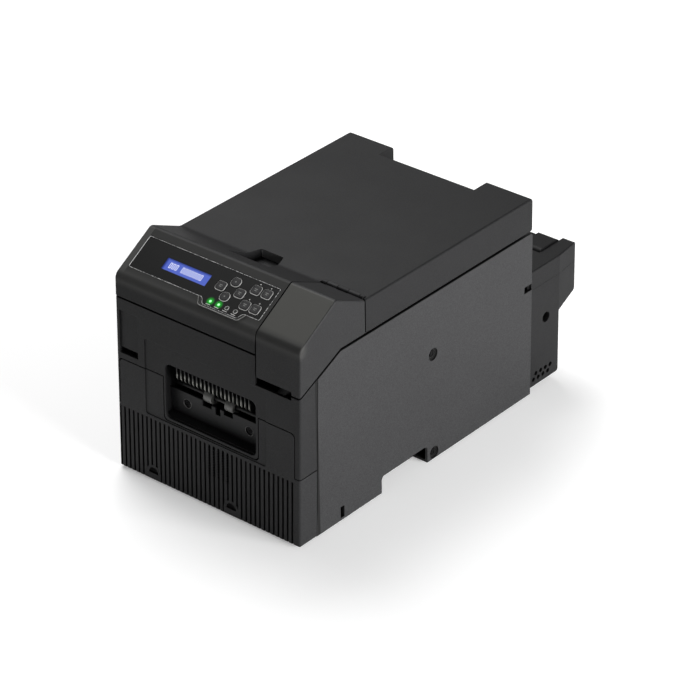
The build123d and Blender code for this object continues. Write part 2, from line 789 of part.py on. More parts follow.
# Upper front cover with the exit opening, the grip recess and the handle's finger slot
with BuildPart() as front_upper_cover:
    cover_low = cover_bottom - cover_gap
    right_low = handle_bottom - cover_gap
    front_profile(
        [
            (-half_width, strip_seam),
            (leg_left, strip_seam),
            (leg_left, lower_top),
            (tongue_left, lower_top),
            (tongue_left, tongue_bottom),
            (tongue_right, tongue_bottom),
            (tongue_right, lower_top),
            (leg_right, lower_top),
            (leg_right, strip_seam),
            (half_width, strip_seam),
            (half_width, right_low),
            (grip_right, right_low),
            (grip_right, finger_slot_bottom),
            (handle_left - handle_gap, finger_slot_bottom),
            (handle_left - handle_gap, cover_low),
            (-half_width, cover_low),
        ],
        [0, 0, 4, 0, 5, 5, 0, 5, 0, 0, 0, 0, 0, 0, 0, 0],
        front_wall,
    )
    left_x, right_x = both_sides(half_width - front_wall, half_width)
    strip_rear = lean_y(right_low) + strip_depth
    side_strip(left_x, strip_seam, cover_low, cover_low)
    side_strip(right_x, strip_seam, right_low, parting_z(strip_rear, cover_gap))
    fillet(front_corners(front_upper_cover), 2.5)
    # Exit opening
    with BuildSketch(front_plane):
        with Locations(((exit_left + exit_right) / 2, (exit_bottom + exit_top) / 2)):
            RectangleRounded(exit_right - exit_left, exit_top - exit_bottom, exit_round)
    extrude(amount=-front_wall - 1, mode=Mode.SUBTRACT)
    # Shallow recess with a finger slot at its foot
    with BuildSketch(front_plane):
        with Locations((sum(grip_left_x) / 2, sum(grip_left_z) / 2)):
            Rectangle(grip_left_x[1] - grip_left_x[0], grip_left_z[1] - grip_left_z[0])
    extrude(amount=-1.6, mode=Mode.SUBTRACT)
    with BuildSketch(front_plane):
        with Locations((sum(grip_left_x) / 2, (grip_slot_bottom + grip_left_z[0]) / 2)):
            Rectangle(grip_left_x[1] - grip_left_x[0], grip_left_z[0] - grip_slot_bottom)
    extrude(amount=-front_wall - 1, mode=Mode.SUBTRACT)
    # Centre field set slightly back
    with BuildSketch(front_plane):
        with Locations((sum(centre_x) / 2, sum(centre_z) / 2)):
            RectangleRounded(centre_x[1] - centre_x[0], centre_z[1] - centre_z[0], 3)
    extrude(amount=-centre_depth, mode=Mode.SUBTRACT)
    post_spots = ((-1, cover_bottom - 16), (-1, cover_bottom - 38), (1, handle_bottom - 17.6))
    for side, post_z in post_spots:
        post_x = side * (frame_x + 1)
        post(post_x, post_z, (lean_y(post_z) + front_wall - 0.5, frame_front), 4)
finish(front_upper_cover, "front_upper_cover")

# Lower front cover with its field of grooves and two half-round holes
with BuildPart() as front_lower_cover:
    low = strip_seam - seam
    front_profile(
        [
            (-half_width, 0),
            (half_width, 0),
            (half_width, low),
            (leg_right - seam, low),
            (leg_right - seam, lower_top - seam),
            (tongue_right + seam, lower_top - seam),
            (tongue_right + seam, tongue_bottom - seam),
            (tongue_left - seam, tongue_bottom - seam),
            (tongue_left - seam, lower_top - seam),
            (leg_left + seam, lower_top - seam),
            (leg_left + seam, low),
            (-half_width, low),
        ],
        [0, 0, 0, 0, 5, 0, 5, 5, 0, 4, 0, 0],
        front_wall,
    )
    side_strip(left_x, 0, low, low)
    side_strip(right_x, 0, low, low)
    strip_y = (front_y - 1, front_y + strip_depth + 1)
    block((-half_width, half_width), strip_y, (-1, body_bottom), Mode.SUBTRACT)
    fillet(front_corners(front_lower_cover), 2.5)
    bottom_edges = front_lower_cover.edges().group_by(Axis.Z)[0]
    bottom_edge = bottom_edges.filter_by(Axis.X).sort_by(Axis.Y)[0]
    chamfer(bottom_edge, 1.2)
    with BuildSketch(front_plane):
        with Locations((sum(centre_x) / 2, sum(centre_z) / 2)):
            RectangleRounded(centre_x[1] - centre_x[0], centre_z[1] - centre_z[0], 3)
    extrude(amount=-centre_depth, mode=Mode.SUBTRACT)
    with BuildSketch(front_plane):
        with Locations((groove_centre, groove_top / 2)):
            with GridLocations(groove_pitch, 0, groove_count, 1):
                Rectangle(groove_width, groove_top)
        for hole_x in arch_x:
            with Locations((hole_x, arch_z)):
                Circle(arch_radius + arch_rim, mode=Mode.SUBTRACT)
            with Locations((hole_x, arch_z / 2 - 1)):
                Rectangle(2 * (arch_radius + arch_rim), arch_z + 2, mode=Mode.SUBTRACT)
    extrude(amount=-groove_depth, mode=Mode.SUBTRACT)
    # Round-topped holes at the foot of the field
    with BuildSketch(front_plane):
        for hole_x in arch_x:
            with Locations((hole_x, arch_z)):
                Circle(arch_radius)
        with Locations((0, arch_z - arch_radius)):
            Rectangle(overall_width, 2 * arch_radius, mode=Mode.SUBTRACT)
    extrude(amount=-front_wall - 1, mode=Mode.SUBTRACT)
    # Small air holes in the middle grooves
    with BuildSketch(front_plane):
        with Locations((groove_centre + 3 * groove_pitch, air_hole_middle)):
            with GridLocations(groove_pitch, air_hole_pitch, air_hole_columns, air_hole_rows):
                Rectangle(air_hole_width, air_hole_height)
    extrude(amount=-front_wall - 1, mode=Mode.SUBTRACT)
    for post_x in (-frame_x - 1, frame_x + 1):
        for post_z in (30, 100):
            post(post_x, post_z, (lean_y(post_z) + front_wall - 0.5, frame_front), 4)
        post(post_x, 8, (front_y + 3, tray_front), 3)
finish(front_lower_cover, "front_lower_cover")


def side_panel(x_range, on_right):
    """A side panel: plate, lift cut-out, slots, screw recesses and posts to the frame."""
    panel_front = strip_depth + 0.8
    if on_right:
        top_front_y = lean_y(right_low) + panel_front + 0.6
        head = [
            (top_front_y, parting_z(top_front_y, side_gap)),
            (handle_flat_y, panel_top),
        ]
    else:
        head = [(lean_y(panel_top) + panel_front, panel_top)]
    side_profile(
        [(lean_y(body_bottom) + panel_front, body_bottom)]
        + head
        + [
            (body_rear, panel_top),
            (body_rear, body_bottom),
            (lift_rear, body_bottom),
            (lift_rear, lift_height),
            (lift_front, lift_height),
            (lift_front, body_bottom),
        ],
        [0] + [0] * len(head) + [rear_round, 0, 0, 5, 5, 0],
        x_range,
    )


def panel_details(x_range, outer_x, post_x):
    """Slots, screw recesses and posts that both side panels share."""
    block(x_range, (front_y + 57.6, front_y + 62.9), (5, 16.8), Mode.SUBTRACT)
    block(x_range, (front_y + 331, body_rear), (119, 126), Mode.SUBTRACT)
    for screw_y, screw_z in screw_spots:
        rod(outer_x, screw_y, screw_z, screw_recess_radius, Mode.SUBTRACT)
    for post_y, post_z in ((45, 40), (45, panel_top - 35.2), (308, 40), (308, panel_top - 23.2)):
        rod(post_x, front_y + post_y, post_z, 4.5)


with BuildPart() as left_side_panel:
    side_panel(left_x, False)
    fillet(left_side_panel.edges().filter_by_position(Axis.X, -half_width, -half_width), 0.8)
    recess_x, _ = both_sides(half_width - screw_recess_depth, half_width)
    post_x, _ = both_sides(frame_x + frame_wall, half_width - panel_wall)
    panel_details(left_x, recess_x, post_x)
finish(left_side_panel, "left_side_panel")

with BuildPart() as right_side_panel:
    side_panel(right_x, True)
    fillet(right_side_panel.edges().filter_by_position(Axis.X, half_width, half_width), 0.8)
    _, recess_x = both_sides(half_width - screw_recess_depth, half_width)
    _, post_x = both_sides(frame_x + frame_wall, half_width - panel_wall)
    panel_details(right_x, recess_x, post_x)
finish(right_side_panel, "right_side_panel")

# Rear cover with the media slot, the inlet hole and air slots
with BuildPart() as rear_cover:
    panel_half = half_width - panel_wall
    rear_y = (body_rear - 3.5, body_rear)
    block((-panel_half, panel_half), rear_y, (body_bottom, panel_top - 3.2))
    block((-60, 60), rear_y, (path_z - 7, path_z + 4.5), Mode.SUBTRACT)
    block((inlet_x[0] - 1.5, rocker_x + 8.5), rear_y, (inlet_z[0] - 1, inlet_z[1] + 1), Mode.SUBTRACT)
    for n in range(6):
        slot_low = inlet_z[0] - 1 + 4.6 * n
        block((18, 62), rear_y, (slot_low, slot_low + 2), Mode.SUBTRACT)
finish(rear_cover, "rear_cover")

# Base tray with rails under the steel frames and gaps for the lift recesses
with BuildPart() as base_tray:
    block((-panel_half, panel_half), (tray_front, tray_rear), (body_bottom, body_bottom + tray_floor))
    for wall_y in ((tray_front, tray_front + 3), (tray_rear - 3, tray_rear)):
        block((-panel_half, panel_half), wall_y, (body_bottom, tray_top))
    for near, far in both_sides(frame_x - 2, frame_x + 4):
        block((near, far), (tray_front, tray_rear), (body_bottom, tray_top))
    for near, far in both_sides(frame_x + 6, panel_half):
        block((near, far), (lift_front, lift_rear), (body_bottom, tray_top), Mode.SUBTRACT)
finish(base_tray, "base_tray")

# Rubber feet, four discs under the tray
with BuildPart() as rubber_feet:
    for foot_y in (front_y + 35, front_y + 310):
        for foot_x in (-frame_x - 2, frame_x + 2):
            with BuildSketch(Plane.XY):
                with Locations((foot_x, foot_y)):
                    Circle(foot_radius)
            extrude(amount=body_bottom)
finish(rubber_feet, "rubber_feet")


def frame_holes(x_range):
    """Bearing holes, the same in both side frames."""
    for drum_y in drum_spots:
        rod(x_range, drum_y, drum_z, shaft_radius + running_fit, Mode.SUBTRACT)
    rod(x_range, belt_front_y, belt_z, shaft_radius + running_fit, Mode.SUBTRACT)
    rod(x_range, fuser_y, fuser_high, shaft_radius + running_fit, Mode.SUBTRACT)
    rod(x_range, fuser_y, fuser_low, shaft_radius + running_fit, Mode.SUBTRACT)


frame_outline = [
    (frame_front, tray_top),
    (frame_rear, tray_top),
    (frame_rear, path_z + 20),
    (frame_rear - 15, frame_top),
    (frame_front, frame_top),
]

# Steel side frames, each with a striker pin for the latch
with BuildPart() as left_side_frame:
    frame_left, frame_right = both_sides(frame_x, frame_x + frame_wall)
    side_profile(frame_outline, [0, 0, 8, 8, 8], frame_left)
    frame_holes(frame_left)
    rod((-frame_x, -frame_x + 9), latch_y + 3.3, striker_z, striker_radius)
finish(left_side_frame, "left_side_frame")

with BuildPart() as right_side_frame:
    side_profile(frame_outline, [0, 0, 8, 8, 8], frame_right)
    frame_holes(frame_right)
    rod((frame_x - 9, frame_x), latch_y + 3.3, striker_z, striker_radius)
finish(right_side_frame, "right_side_frame")

# Hinge brackets inside the rear cover, each with two arms and a pin
with BuildPart() as hinge_brackets:
    arm_front = hinge_y - hinge_knuckle_radius
    for near, far in both_sides(*hinge_spots):
        bracket_low = hinge_z - 41.5
        block((near, far), (arm_front, tray_rear), (bracket_low, bracket_low + 4))
        for arm_x in ((near, near + 7), (far - 7, far)):
            block(arm_x, (arm_front, tray_rear), (bracket_low, hinge_z - 10))
            block(arm_x, (arm_front, hinge_y + 2), (hinge_z - 10, hinge_z))
            rod(arm_x, hinge_y, hinge_z, hinge_knuckle_radius)
        rod((near, far), hinge_y, hinge_z, hinge_pin_radius)
finish(hinge_brackets, "hinge_brackets")

# Drive: gearbox outside the left frame, motor inside it
with BuildPart() as drive_gearbox:
    gearbox_x = (-frame_x - frame_wall - 14, -frame_x - frame_wall)
    side_profile(
        [
            (front_y + 105, path_z - 8),
            (front_y + 178, path_z - 8),
            (front_y + 178, 50),
            (front_y + 222, 50),
            (front_y + 222, path_z - 8),
            (front_y + 300, path_z - 8),
            (front_y + 300, path_z + 40),
            (front_y + 105, path_z + 40),
        ],
        [6, 4, 8, 8, 4, 6, 6, 6],
        gearbox_x,
    )
finish(drive_gearbox, "drive_gearbox")

with BuildPart() as drive_motor:
    rod((-frame_x, -frame_x + 26), front_y + 200, 60, 17)
    rod((-frame_x + 26, -frame_x + 29), front_y + 200, 60, 6)
finish(drive_motor, "drive_motor")

# Power supply on the tray floor
with BuildPart() as power_supply:
    block((-40, frame_x - 8), (front_y + 180, front_y + 300), (body_bottom + tray_floor, 44))
    fillet(power_supply.edges().filter_by(Axis.Z), 2)
finish(power_supply, "power_supply")

# Main board upright beside the right frame, on four posts
with BuildPart() as main_board:
    board_x = (frame_x + frame_wall + 3, frame_x + frame_wall + 4.6)
    block(board_x, (front_y + 60, front_y + 280), (30, 100))
    for post_y in (front_y + 65, front_y + 135, front_y + 205, front_y + 235):
        for post_z in (24, 92):
            if post_z > 30:
                rod((frame_x + frame_wall, board_x[0]), post_y, post_z, 3)
    block((board_x[1], board_x[1] + 3), (front_y + 150, front_y + 180), (50, 80))
    block((board_x[1], board_x[1] + 8), (front_y + 80, front_y + 96), (40, 70))
finish(main_board, "main_board")

# Power inlet with a socket for the mains lead and a well for the switch
with BuildPart() as power_inlet:
    inlet_right = rocker_x + 8
    flange_x = (inlet_x[0] - 4, inlet_right + 3)
    block(flange_x, (body_rear, body_rear + 2.5), (inlet_z[0] - 4, inlet_z[1] + 4))
    fillet(power_inlet.edges().filter_by(Axis.Y), 3)
    block((inlet_x[0] - 1, inlet_right), (body_rear - 18, body_rear), inlet_z)
    socket_x = (inlet_x[0] + 2, inlet_x[1] - 2)
    socket_y = (body_rear - 14, body_rear + 2.5)
    block(socket_x, socket_y, (inlet_z[0] + 3, inlet_z[1] - 3), Mode.SUBTRACT)
    for pin_x, pin_z in ((-52, 157.5), (-45, 162.5), (-38, 157.5)):
        block((pin_x - 1, pin_x + 1), (body_rear - 14, body_rear - 5), (pin_z - 2, pin_z + 2))
    well_x = (rocker_x - rocker_half - 0.3, rocker_x + rocker_half + 0.3)
    rocker_y = body_rear - 1
    rocker_z = sum(inlet_z) / 2
    block(well_x, (rocker_y - 6, body_rear + 2.5), (rocker_z - 10.2, rocker_z + 10.2), Mode.SUBTRACT)
    axle_x = (rocker_x - rocker_half - 1.2, rocker_x + rocker_half + 1.2)
    rod((axle_x[0] - 0.1, axle_x[1] + 0.1), rocker_y, rocker_z, 1.5 + running_fit, Mode.SUBTRACT)
finish(power_inlet, "power_inlet")

# Rocker of the switch, resting at one end of its travel
with BuildPart() as rocker_switch:
    rocker_outline = [(3.6, 9), (2.4, 0), (3.6, -9), (-2, -7), (-4.6, 0), (-2, 7)]
    turn = radians(-rocker_tilt)
    turned = []
    for dy, dz in rocker_outline:
        turned.append(
            (rocker_y + dy * cos(turn) - dz * sin(turn), rocker_z + dy * sin(turn) + dz * cos(turn))
        )
    side_profile(turned, [1, 0, 1, 1, 3, 1], (rocker_x - rocker_half, rocker_x + rocker_half))
    rod(axle_x, rocker_y, rocker_z, 1.5)
finish(rocker_switch, "rocker_switch")


def taper_sides(z_range):
    """Cut the feeder's flanks so that it narrows beyond its step."""
    for side in (-1, 1):
        with BuildSketch(Plane.XY.offset(z_range[0])) as wedge:
            with BuildLine():
                Polyline(
                    (side * feeder_half, feeder_step_y),
                    (side * (feeder_half + 1), feeder_step_y),
                    (side * (feeder_half + 1), -front_y),
                    (side * (feeder_half - feeder_taper), -front_y),
                    close=True,
                )
            make_face()
        extrude(wedge.sketch, amount=z_range[1] - z_range[0], mode=Mode.SUBTRACT)


# Feeder base with an overhanging tail, the paper plate and the feed roller's ribs
with BuildPart() as feeder_base:
    side_profile(
        [
            (body_rear, feeder_bottom),
            (feeder_step_y, feeder_bottom),
            (feeder_step_y, feeder_step_z),
            (-front_y, feeder_lip_z),
            (-front_y, feeder_seam),
            (body_rear, feeder_seam),
        ],
        [0, 3, 0, 3, 0, 0],
        (-feeder_half, feeder_half),
    )
    taper_sides((feeder_bottom, feeder_seam))
    inner_half = feeder_half - feeder_wall
    block(
        (-inner_half, inner_half),
        (body_rear + feeder_wall, feeder_step_y - feeder_wall),
        (feeder_bottom, feeder_seam - feeder_wall),
        Mode.SUBTRACT,
    )
    side_profile(
        [
            (feeder_step_y - feeder_wall - 1, feeder_step_z + 3),
            (-front_y - feeder_wall, feeder_lip_z + 3),
            (-front_y - feeder_wall, feeder_seam - feeder_wall),
            (feeder_step_y - feeder_wall - 1, feeder_seam - feeder_wall),
        ],
        None,
        (-inner_half + feeder_taper, inner_half - feeder_taper),
        Mode.SUBTRACT,
    )
    slot_y = (feed_roller_y - 8, feed_roller_y + 8)
    feed_roller_z = feeder_seam + 1.2 - feed_roller_radius
    block((-52, 52), slot_y, (feeder_seam - feeder_wall, feeder_seam), Mode.SUBTRACT)
    for near, far in both_sides(60, 64):
        rib_z = (feed_roller_z - 7, feeder_seam - feeder_wall)
        block((near, far), (feed_roller_y - 7, feed_roller_y + 7), rib_z)
        rod((near, far), feed_roller_y, feed_roller_z, feed_shaft_radius + running_fit, Mode.SUBTRACT)
    for near, far in both_sides(inner_half, feeder_half):
        rod((near, far), front_y + 367.5, 77.5, 5.5, Mode.SUBTRACT)
        for n in range(4):
            rod((near, far), front_y + 352.8 + n * vent_pitch, 20.8, vent_radius, Mode.SUBTRACT)
            rod((near, far), front_y + 349.0 + n * vent_pitch, 15.1, vent_radius, Mode.SUBTRACT)
finish(feeder_base, "feeder_base")

with BuildPart() as feed_roller:
    rod((-50, 50), feed_roller_y, feed_roller_z, feed_roller_radius)
    rod((-70, 70), feed_roller_y, feed_roller_z, feed_shaft_radius)
finish(feed_roller, "feed_roller")

# Feeder top with side arms and pins for the hinged feeder cover
with BuildPart() as feeder_top:
    block((-feeder_half, feeder_half), (body_rear, -front_y), (feeder_seam, feeder_top_z))
    taper_sides((feeder_seam, feeder_top_z))
    upper = feeder_top.edges().group_by(Axis.Z)[-1]
    upper = upper.filter_by(lambda e: abs((e @ 0.5).X) > feeder_half - 11 or (e @ 0.5).Y > -front_y - 9)
    fillet(upper, 1.5)
    open_half = feeder_cover_half + 0.6
    cover_front = feeder_hinge_y - feeder_barrel - 0.5
    block((-open_half, open_half), (cover_front, -front_y), (feeder_seam, feeder_top_z), Mode.SUBTRACT)
    under_z = (feeder_seam, feeder_top_z - feeder_wall)
    block((6 - feeder_half, feeder_half - 6), (body_rear + 5, cover_front + 1.7), under_z, Mode.SUBTRACT)
    block((-60, 60), (body_rear, body_rear + 5), (feeder_seam, path_z + 4), Mode.SUBTRACT)
    for near, far in both_sides(open_half - 6.5, open_half):
        rod((near, far), feeder_hinge_y, feeder_hinge_z, 2.5)
    rest_y = (feeder_cover_rear - 16, feeder_cover_rear - 6)
    for near, far in both_sides(open_half - 5, open_half):
        block((near, far), rest_y, (feeder_seam, path_z + 4.4))
finish(feeder_top, "feeder_top")

# Feeder cover, hinged at its front edge, with a finger notch at the back
with BuildPart() as feeder_cover:
    cover_x = (-feeder_cover_half, feeder_cover_half)
    side_profile(
        [
            (feeder_hinge_y, path_z + 4.5),
            (feeder_cover_rear, path_z + 4.5),
            (feeder_cover_rear, feeder_top_z),
            (feeder_cover_rear - 3, feeder_hinge_z + feeder_barrel),
            (feeder_hinge_y, feeder_hinge_z + feeder_barrel),
        ],
        [0, 2, 1, 2, 0],
        cover_x,
    )
    notch_half_width = feeder_cover_half - 22.4
    notch_y = (feeder_cover_rear - 7, feeder_cover_rear + 1)
    block((-notch_half_width, notch_half_width), notch_y, (path_z, feeder_top_z + 5), Mode.SUBTRACT)
    rod(cover_x, feeder_hinge_y, feeder_hinge_z, feeder_barrel)
    under_x = (-feeder_cover_half + 8, feeder_cover_half - 8)
    block(under_x, (feeder_hinge_y + 6, feeder_cover_rear - 10), (path_z, feeder_hinge_z + 2), Mode.SUBTRACT)
    for near, far in both_sides(feeder_cover_half - 6.4, feeder_cover_half):
        rod((near, far), feeder_hinge_y, feeder_hinge_z, 2.5 + running_fit, Mode.SUBTRACT)
finish(feeder_cover, "feeder_cover")
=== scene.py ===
import math
import bmesh
import bpy
from mathutils import Matrix, Vector


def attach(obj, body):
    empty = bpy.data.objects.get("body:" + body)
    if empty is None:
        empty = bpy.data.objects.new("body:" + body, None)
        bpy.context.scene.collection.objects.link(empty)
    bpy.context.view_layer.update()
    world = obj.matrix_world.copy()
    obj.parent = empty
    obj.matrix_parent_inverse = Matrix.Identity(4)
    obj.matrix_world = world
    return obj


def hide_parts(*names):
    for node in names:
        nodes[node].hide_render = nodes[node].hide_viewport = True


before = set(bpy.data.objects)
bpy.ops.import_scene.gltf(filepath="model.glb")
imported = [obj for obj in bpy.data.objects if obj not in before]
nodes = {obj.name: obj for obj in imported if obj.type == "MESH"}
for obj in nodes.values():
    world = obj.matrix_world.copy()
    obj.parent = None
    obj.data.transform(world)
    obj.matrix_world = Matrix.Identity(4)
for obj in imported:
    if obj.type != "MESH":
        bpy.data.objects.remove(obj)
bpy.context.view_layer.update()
bpy.ops.object.select_all(action="DESELECT")

# The camera
# It stands in front of the printer's right corner and looks down on it, so that the
# front, the right side and the sloped panel all show, as in a catalogue picture.
camera_place = Vector((1.74041, -2.03574, 1.66267))
camera_turn = -0.70828
camera_tilt = -0.53582
camera_roll = -0.01659
ahead = Vector((
    math.sin(camera_turn) * math.cos(camera_tilt),
    math.cos(camera_turn) * math.cos(camera_tilt),
    math.sin(camera_tilt),
))
level = Vector((math.cos(camera_turn), -math.sin(camera_turn), 0))
upward = level.cross(ahead)
across = level * math.cos(camera_roll) + upward * math.sin(camera_roll)
upright = upward * math.cos(camera_roll) - level * math.sin(camera_roll)
bpy.ops.object.camera_add(location=camera_place)
camera = bpy.context.object
camera_frame = Matrix((across, upright, -ahead)).transposed().to_4x4()
camera.matrix_world = Matrix.Translation(camera_place) @ camera_frame
camera.data.sensor_width = 36
camera.data.lens = 167.83
camera.data.clip_end = 30
bpy.context.scene.camera = camera
bpy.context.scene.view_settings.view_transform = "Standard"

# The floor
# A plain pale studio sweep of painted board. It is matt, and carries the printer's soft
# shadow. A little glow, seen by the camera and by gloss alone, brings it to white.
floor_colour = "#ececec"
floor_glow = 0.3


def to_linear(hex_colour):
    """An sRGB hex colour as the linear colour that the shaders take."""
    parts = [int(hex_colour[n:n + 2], 16) / 255 for n in (1, 3, 5)]
    return [p / 12.92 if p <= 0.04045 else ((p + 0.055) / 1.055) ** 2.4 for p in parts] + [1.0]


def new_material(name):
    """An empty material whose Principled shader is already linked to its output."""
    material = bpy.data.materials.new(name)
    material.use_nodes = True
    return material, material.node_tree.nodes["Principled BSDF"]


def add_node(material, kind, settings=None, links=None):
    """Adds one node. Settings are sockets or options by name, links are sockets fed by outputs."""
    node = material.node_tree.nodes.new(kind)
    for key, value in (settings or {}).items():
        if isinstance(key, int) or key in node.inputs:
            node.inputs[key].default_value = value
        else:
            setattr(node, key, value)
    for key, output in (links or {}).items():
        material.node_tree.links.new(output, node.inputs[key])
    return node


bpy.ops.mesh.primitive_plane_add(size=14, location=(0, 0, 0))
floor = bpy.context.object
floor.name = "floor"
painted_board, shader = new_material("painted_board")
shader.inputs["Base Color"].default_value = to_linear(floor_colour)
shader.inputs["Roughness"].default_value = 0.9
shader.inputs["Specular IOR Level"].default_value = 0.1
shader.inputs["Emission Color"].default_value = (1, 1, 1, 1)
path = add_node(painted_board, "ShaderNodeLightPath").outputs
seen = add_node(painted_board, "ShaderNodeMath", {"operation": "MAXIMUM"},
                {0: path["Is Camera Ray"], 1: path["Is Glossy Ray"]})
seen = add_node(painted_board, "ShaderNodeMath", {"operation": "MAXIMUM"},
                {0: seen.outputs[0], 1: path["Is Transmission Ray"]})
glow = add_node(painted_board, "ShaderNodeMath", {"operation": "MULTIPLY", 1: floor_glow},
                {0: seen.outputs[0]})
painted_board.node_tree.links.new(glow.outputs[0], shader.inputs["Emission Strength"])
floor.data.materials.append(painted_board)

# The studio light
# An even white room, a wide softbox overhead on the left, and a brighter one low on the
# right, which the right side faces. The front has the room's light alone and stays the
# darkest.
room_level = 0.16
world = bpy.data.worlds.new("studio_room")
world.use_nodes = True
bpy.context.scene.world = world
room = world.node_tree.nodes["Background"]
room.inputs["Color"].default_value = (1, 1, 1, 1)
room_path = add_node(world, "ShaderNodeLightPath")
room_mix = add_node(world, "ShaderNodeMapRange", {"To Min": room_level, "To Max": 1.0},
                    {"Value": room_path.outputs["Is Camera Ray"]})
world.node_tree.links.new(room_mix.outputs["Result"], room.inputs["Strength"])


def add_softbox(name, place, target, width, height, power):
    """A rectangular lamp at a place, turned to face a target."""
    bpy.ops.object.light_add(type="AREA", location=place)
    lamp = bpy.context.object
    lamp.name = name
    lamp.rotation_euler = (Vector(target) - Vector(place)).to_track_quat("-Z", "Y").to_euler()
    lamp.data.shape = "RECTANGLE"
    lamp.data.size = width
    lamp.data.size_y = height
    lamp.data.energy = power


add_softbox("softbox_overhead", (-1.15, 0.6, 2.0), (0, 0, 0.15), 1.5, 1.5, 46)
add_softbox("softbox_right", (2.3, 0.0, 0.52), (0.1, 0, 0.12), 1.4, 0.8, 90)

# Side panels and rear cover
# Injection-moulded ABS in a matt near-black, screwed to the frames. Its fine spark-eroded
# grain scatters light, so faces look soft and edges catch a thin light line. Seams and
# recesses get painted shade that darkens them to black. The grain is 0.3 mm and is drawn
# at 0.9 mm, the finest that shows.
grain_size = 0.0009
edge_round = 0.0006
seam_reach = 0.005
# The black that is painted as shade where no light gets: seams, slots, screw holes and hidden edges
shade_black = "#030303"
# In mm: how far out seams and slots lie, then their lowest and highest Y and Z
seam_across = (111.0, 113.0)
slot_across = (104.0, 111.6)
panel_seam = (-183.5, 0), (-180.0, 182)
panel_slot = (122, 114), (136, 123)
rear_slot = (122, 114), (133.6, 123)
side_screws = ((-16.6, 116.9), (-15.2, 9.0))
screw_hole = 6


def moulded_abs(name, hex_colour, roughness=0.55, grain=0.22, gloss=0.22):
    """Grained black ABS with soft mottling, rounded-looking edges and painted shade in hollows."""
    material, shader = new_material(name)
    place = add_node(material, "ShaderNodeTexCoord").outputs["Object"]
    fine = add_node(material, "ShaderNodeTexNoise", {"Scale": 1 / grain_size, "Detail": 2.0},
                    {"Vector": place})
    broad = add_node(material, "ShaderNodeTexNoise", {"Scale": 22.0, "Detail": 3.0},
                     {"Vector": place})
    tone = add_node(material, "ShaderNodeMapRange", {"To Min": 0.86, "To Max": 1.14},
                    {"Value": broad.outputs["Fac"]})
    speck = add_node(material, "ShaderNodeMapRange",
                     {"From Min": 0.3, "From Max": 0.7, "To Min": 0.6, "To Max": 1.4},
                     {"Value": fine.outputs["Fac"]})
    shade = add_node(material, "ShaderNodeMath", {"operation": "MULTIPLY"},
                     {0: tone.outputs[0], 1: speck.outputs[0]})
    # Painted shade: the colour darkens towards black in seams and recesses within seam_reach.
    hollow = add_node(material, "ShaderNodeAmbientOcclusion",
                      {"samples": 8, "Distance": seam_reach})
    painted_shade = add_node(material, "ShaderNodeMapRange",
                        {"From Min": 0.3, "From Max": 0.8, "To Min": 0.05, "To Max": 1.0},
                        {"Value": hollow.outputs["AO"]})
    shade = add_node(material, "ShaderNodeMath", {"operation": "MULTIPLY"},
                     {0: shade.outputs[0], 1: painted_shade.outputs[0]})
    colour = add_node(material, "ShaderNodeVectorMath",
                      {"operation": "SCALE", 0: to_linear(hex_colour)[:3]},
                      {"Scale": shade.outputs[0]})
    dull = add_node(material, "ShaderNodeMapRange",
                    {"To Min": roughness - 0.05, "To Max": roughness + 0.07},
                    {"Value": broad.outputs["Fac"]})
    edge = add_node(material, "ShaderNodeBevel", {"samples": 4, "Radius": edge_round})
    bump = add_node(material, "ShaderNodeBump", {"Strength": grain, "Distance": 0.00025},
                    {"Height": fine.outputs["Fac"], "Normal": edge.outputs["Normal"]})
    links = material.node_tree.links
    links.new(colour.outputs[0], shader.inputs["Base Color"])
    links.new(dull.outputs[0], shader.inputs["Roughness"])
    links.new(bump.outputs["Normal"], shader.inputs["Normal"])
    shader.inputs["IOR"].default_value = 1.53
    shader.inputs["Specular IOR Level"].default_value = gloss
    return material


def tint_where(material, mask, hex_colour):
    """Blends a plain colour over a material's own where a mask is 1."""
    shader = material.node_tree.nodes["Principled BSDF"]
    under = shader.inputs["Base Color"].links[0].from_socket
    tint = add_node(material, "ShaderNodeMix", {"data_type": "RGBA", 7: to_linear(hex_colour)},
                    {0: mask, 6: under})
    material.node_tree.links.new(tint.outputs[2], shader.inputs["Base Color"])


def in_box(material, low, high):
    """1 inside a box given by two corners in mm, else 0."""
    middle = [(a + b) / 2000 for a, b in zip(low, high)]
    half = [(b - a) / 2000 for a, b in zip(low, high)]
    away = add_node(material, "ShaderNodeTexCoord").outputs["Object"]
    away = add_node(material, "ShaderNodeVectorMath", {"operation": "SUBTRACT", 1: middle},
                    {0: away})
    away = add_node(material, "ShaderNodeVectorMath", {"operation": "ABSOLUTE"},
                    {0: away.outputs[0]})
    away = add_node(material, "ShaderNodeVectorMath", {"operation": "DIVIDE", 1: half},
                    {0: away.outputs[0]})
    apart = add_node(material, "ShaderNodeSeparateXYZ", {}, {"Vector": away.outputs[0]}).outputs
    most = add_node(material, "ShaderNodeMath", {"operation": "MAXIMUM"},
                    {0: apart["X"], 1: apart["Y"]})
    most = add_node(material, "ShaderNodeMath", {"operation": "MAXIMUM"},
                    {0: most.outputs[0], 1: apart["Z"]})
    inside = add_node(material, "ShaderNodeMath", {"operation": "LESS_THAN", 1: 1.0},
                      {0: most.outputs[0]})
    return inside.outputs[0]


def faces_up(material):
    """1 on faces that look upward, else 0."""
    facing = add_node(material, "ShaderNodeTexCoord").outputs["Normal"]
    apart = add_node(material, "ShaderNodeSeparateXYZ", {}, {"Vector": facing})
    steep = add_node(material, "ShaderNodeMath", {"operation": "GREATER_THAN", 1: 0.4},
                     {0: apart.outputs["Z"]})
    return steep.outputs[0]


def blacken(material, side, reach, low, high):
    """Turns a box on one side of the printer black, where no light gets into a seam."""
    inner, outer = sorted((side * reach[0], side * reach[1]))
    tint_where(material, in_box(material, (inner, *low), (outer, *high)), shade_black)


def dress(material, *names):
    """Gives CAD nodes their finish."""
    for name in names:
        for place in nodes[name].material_slots:
            place.material = material


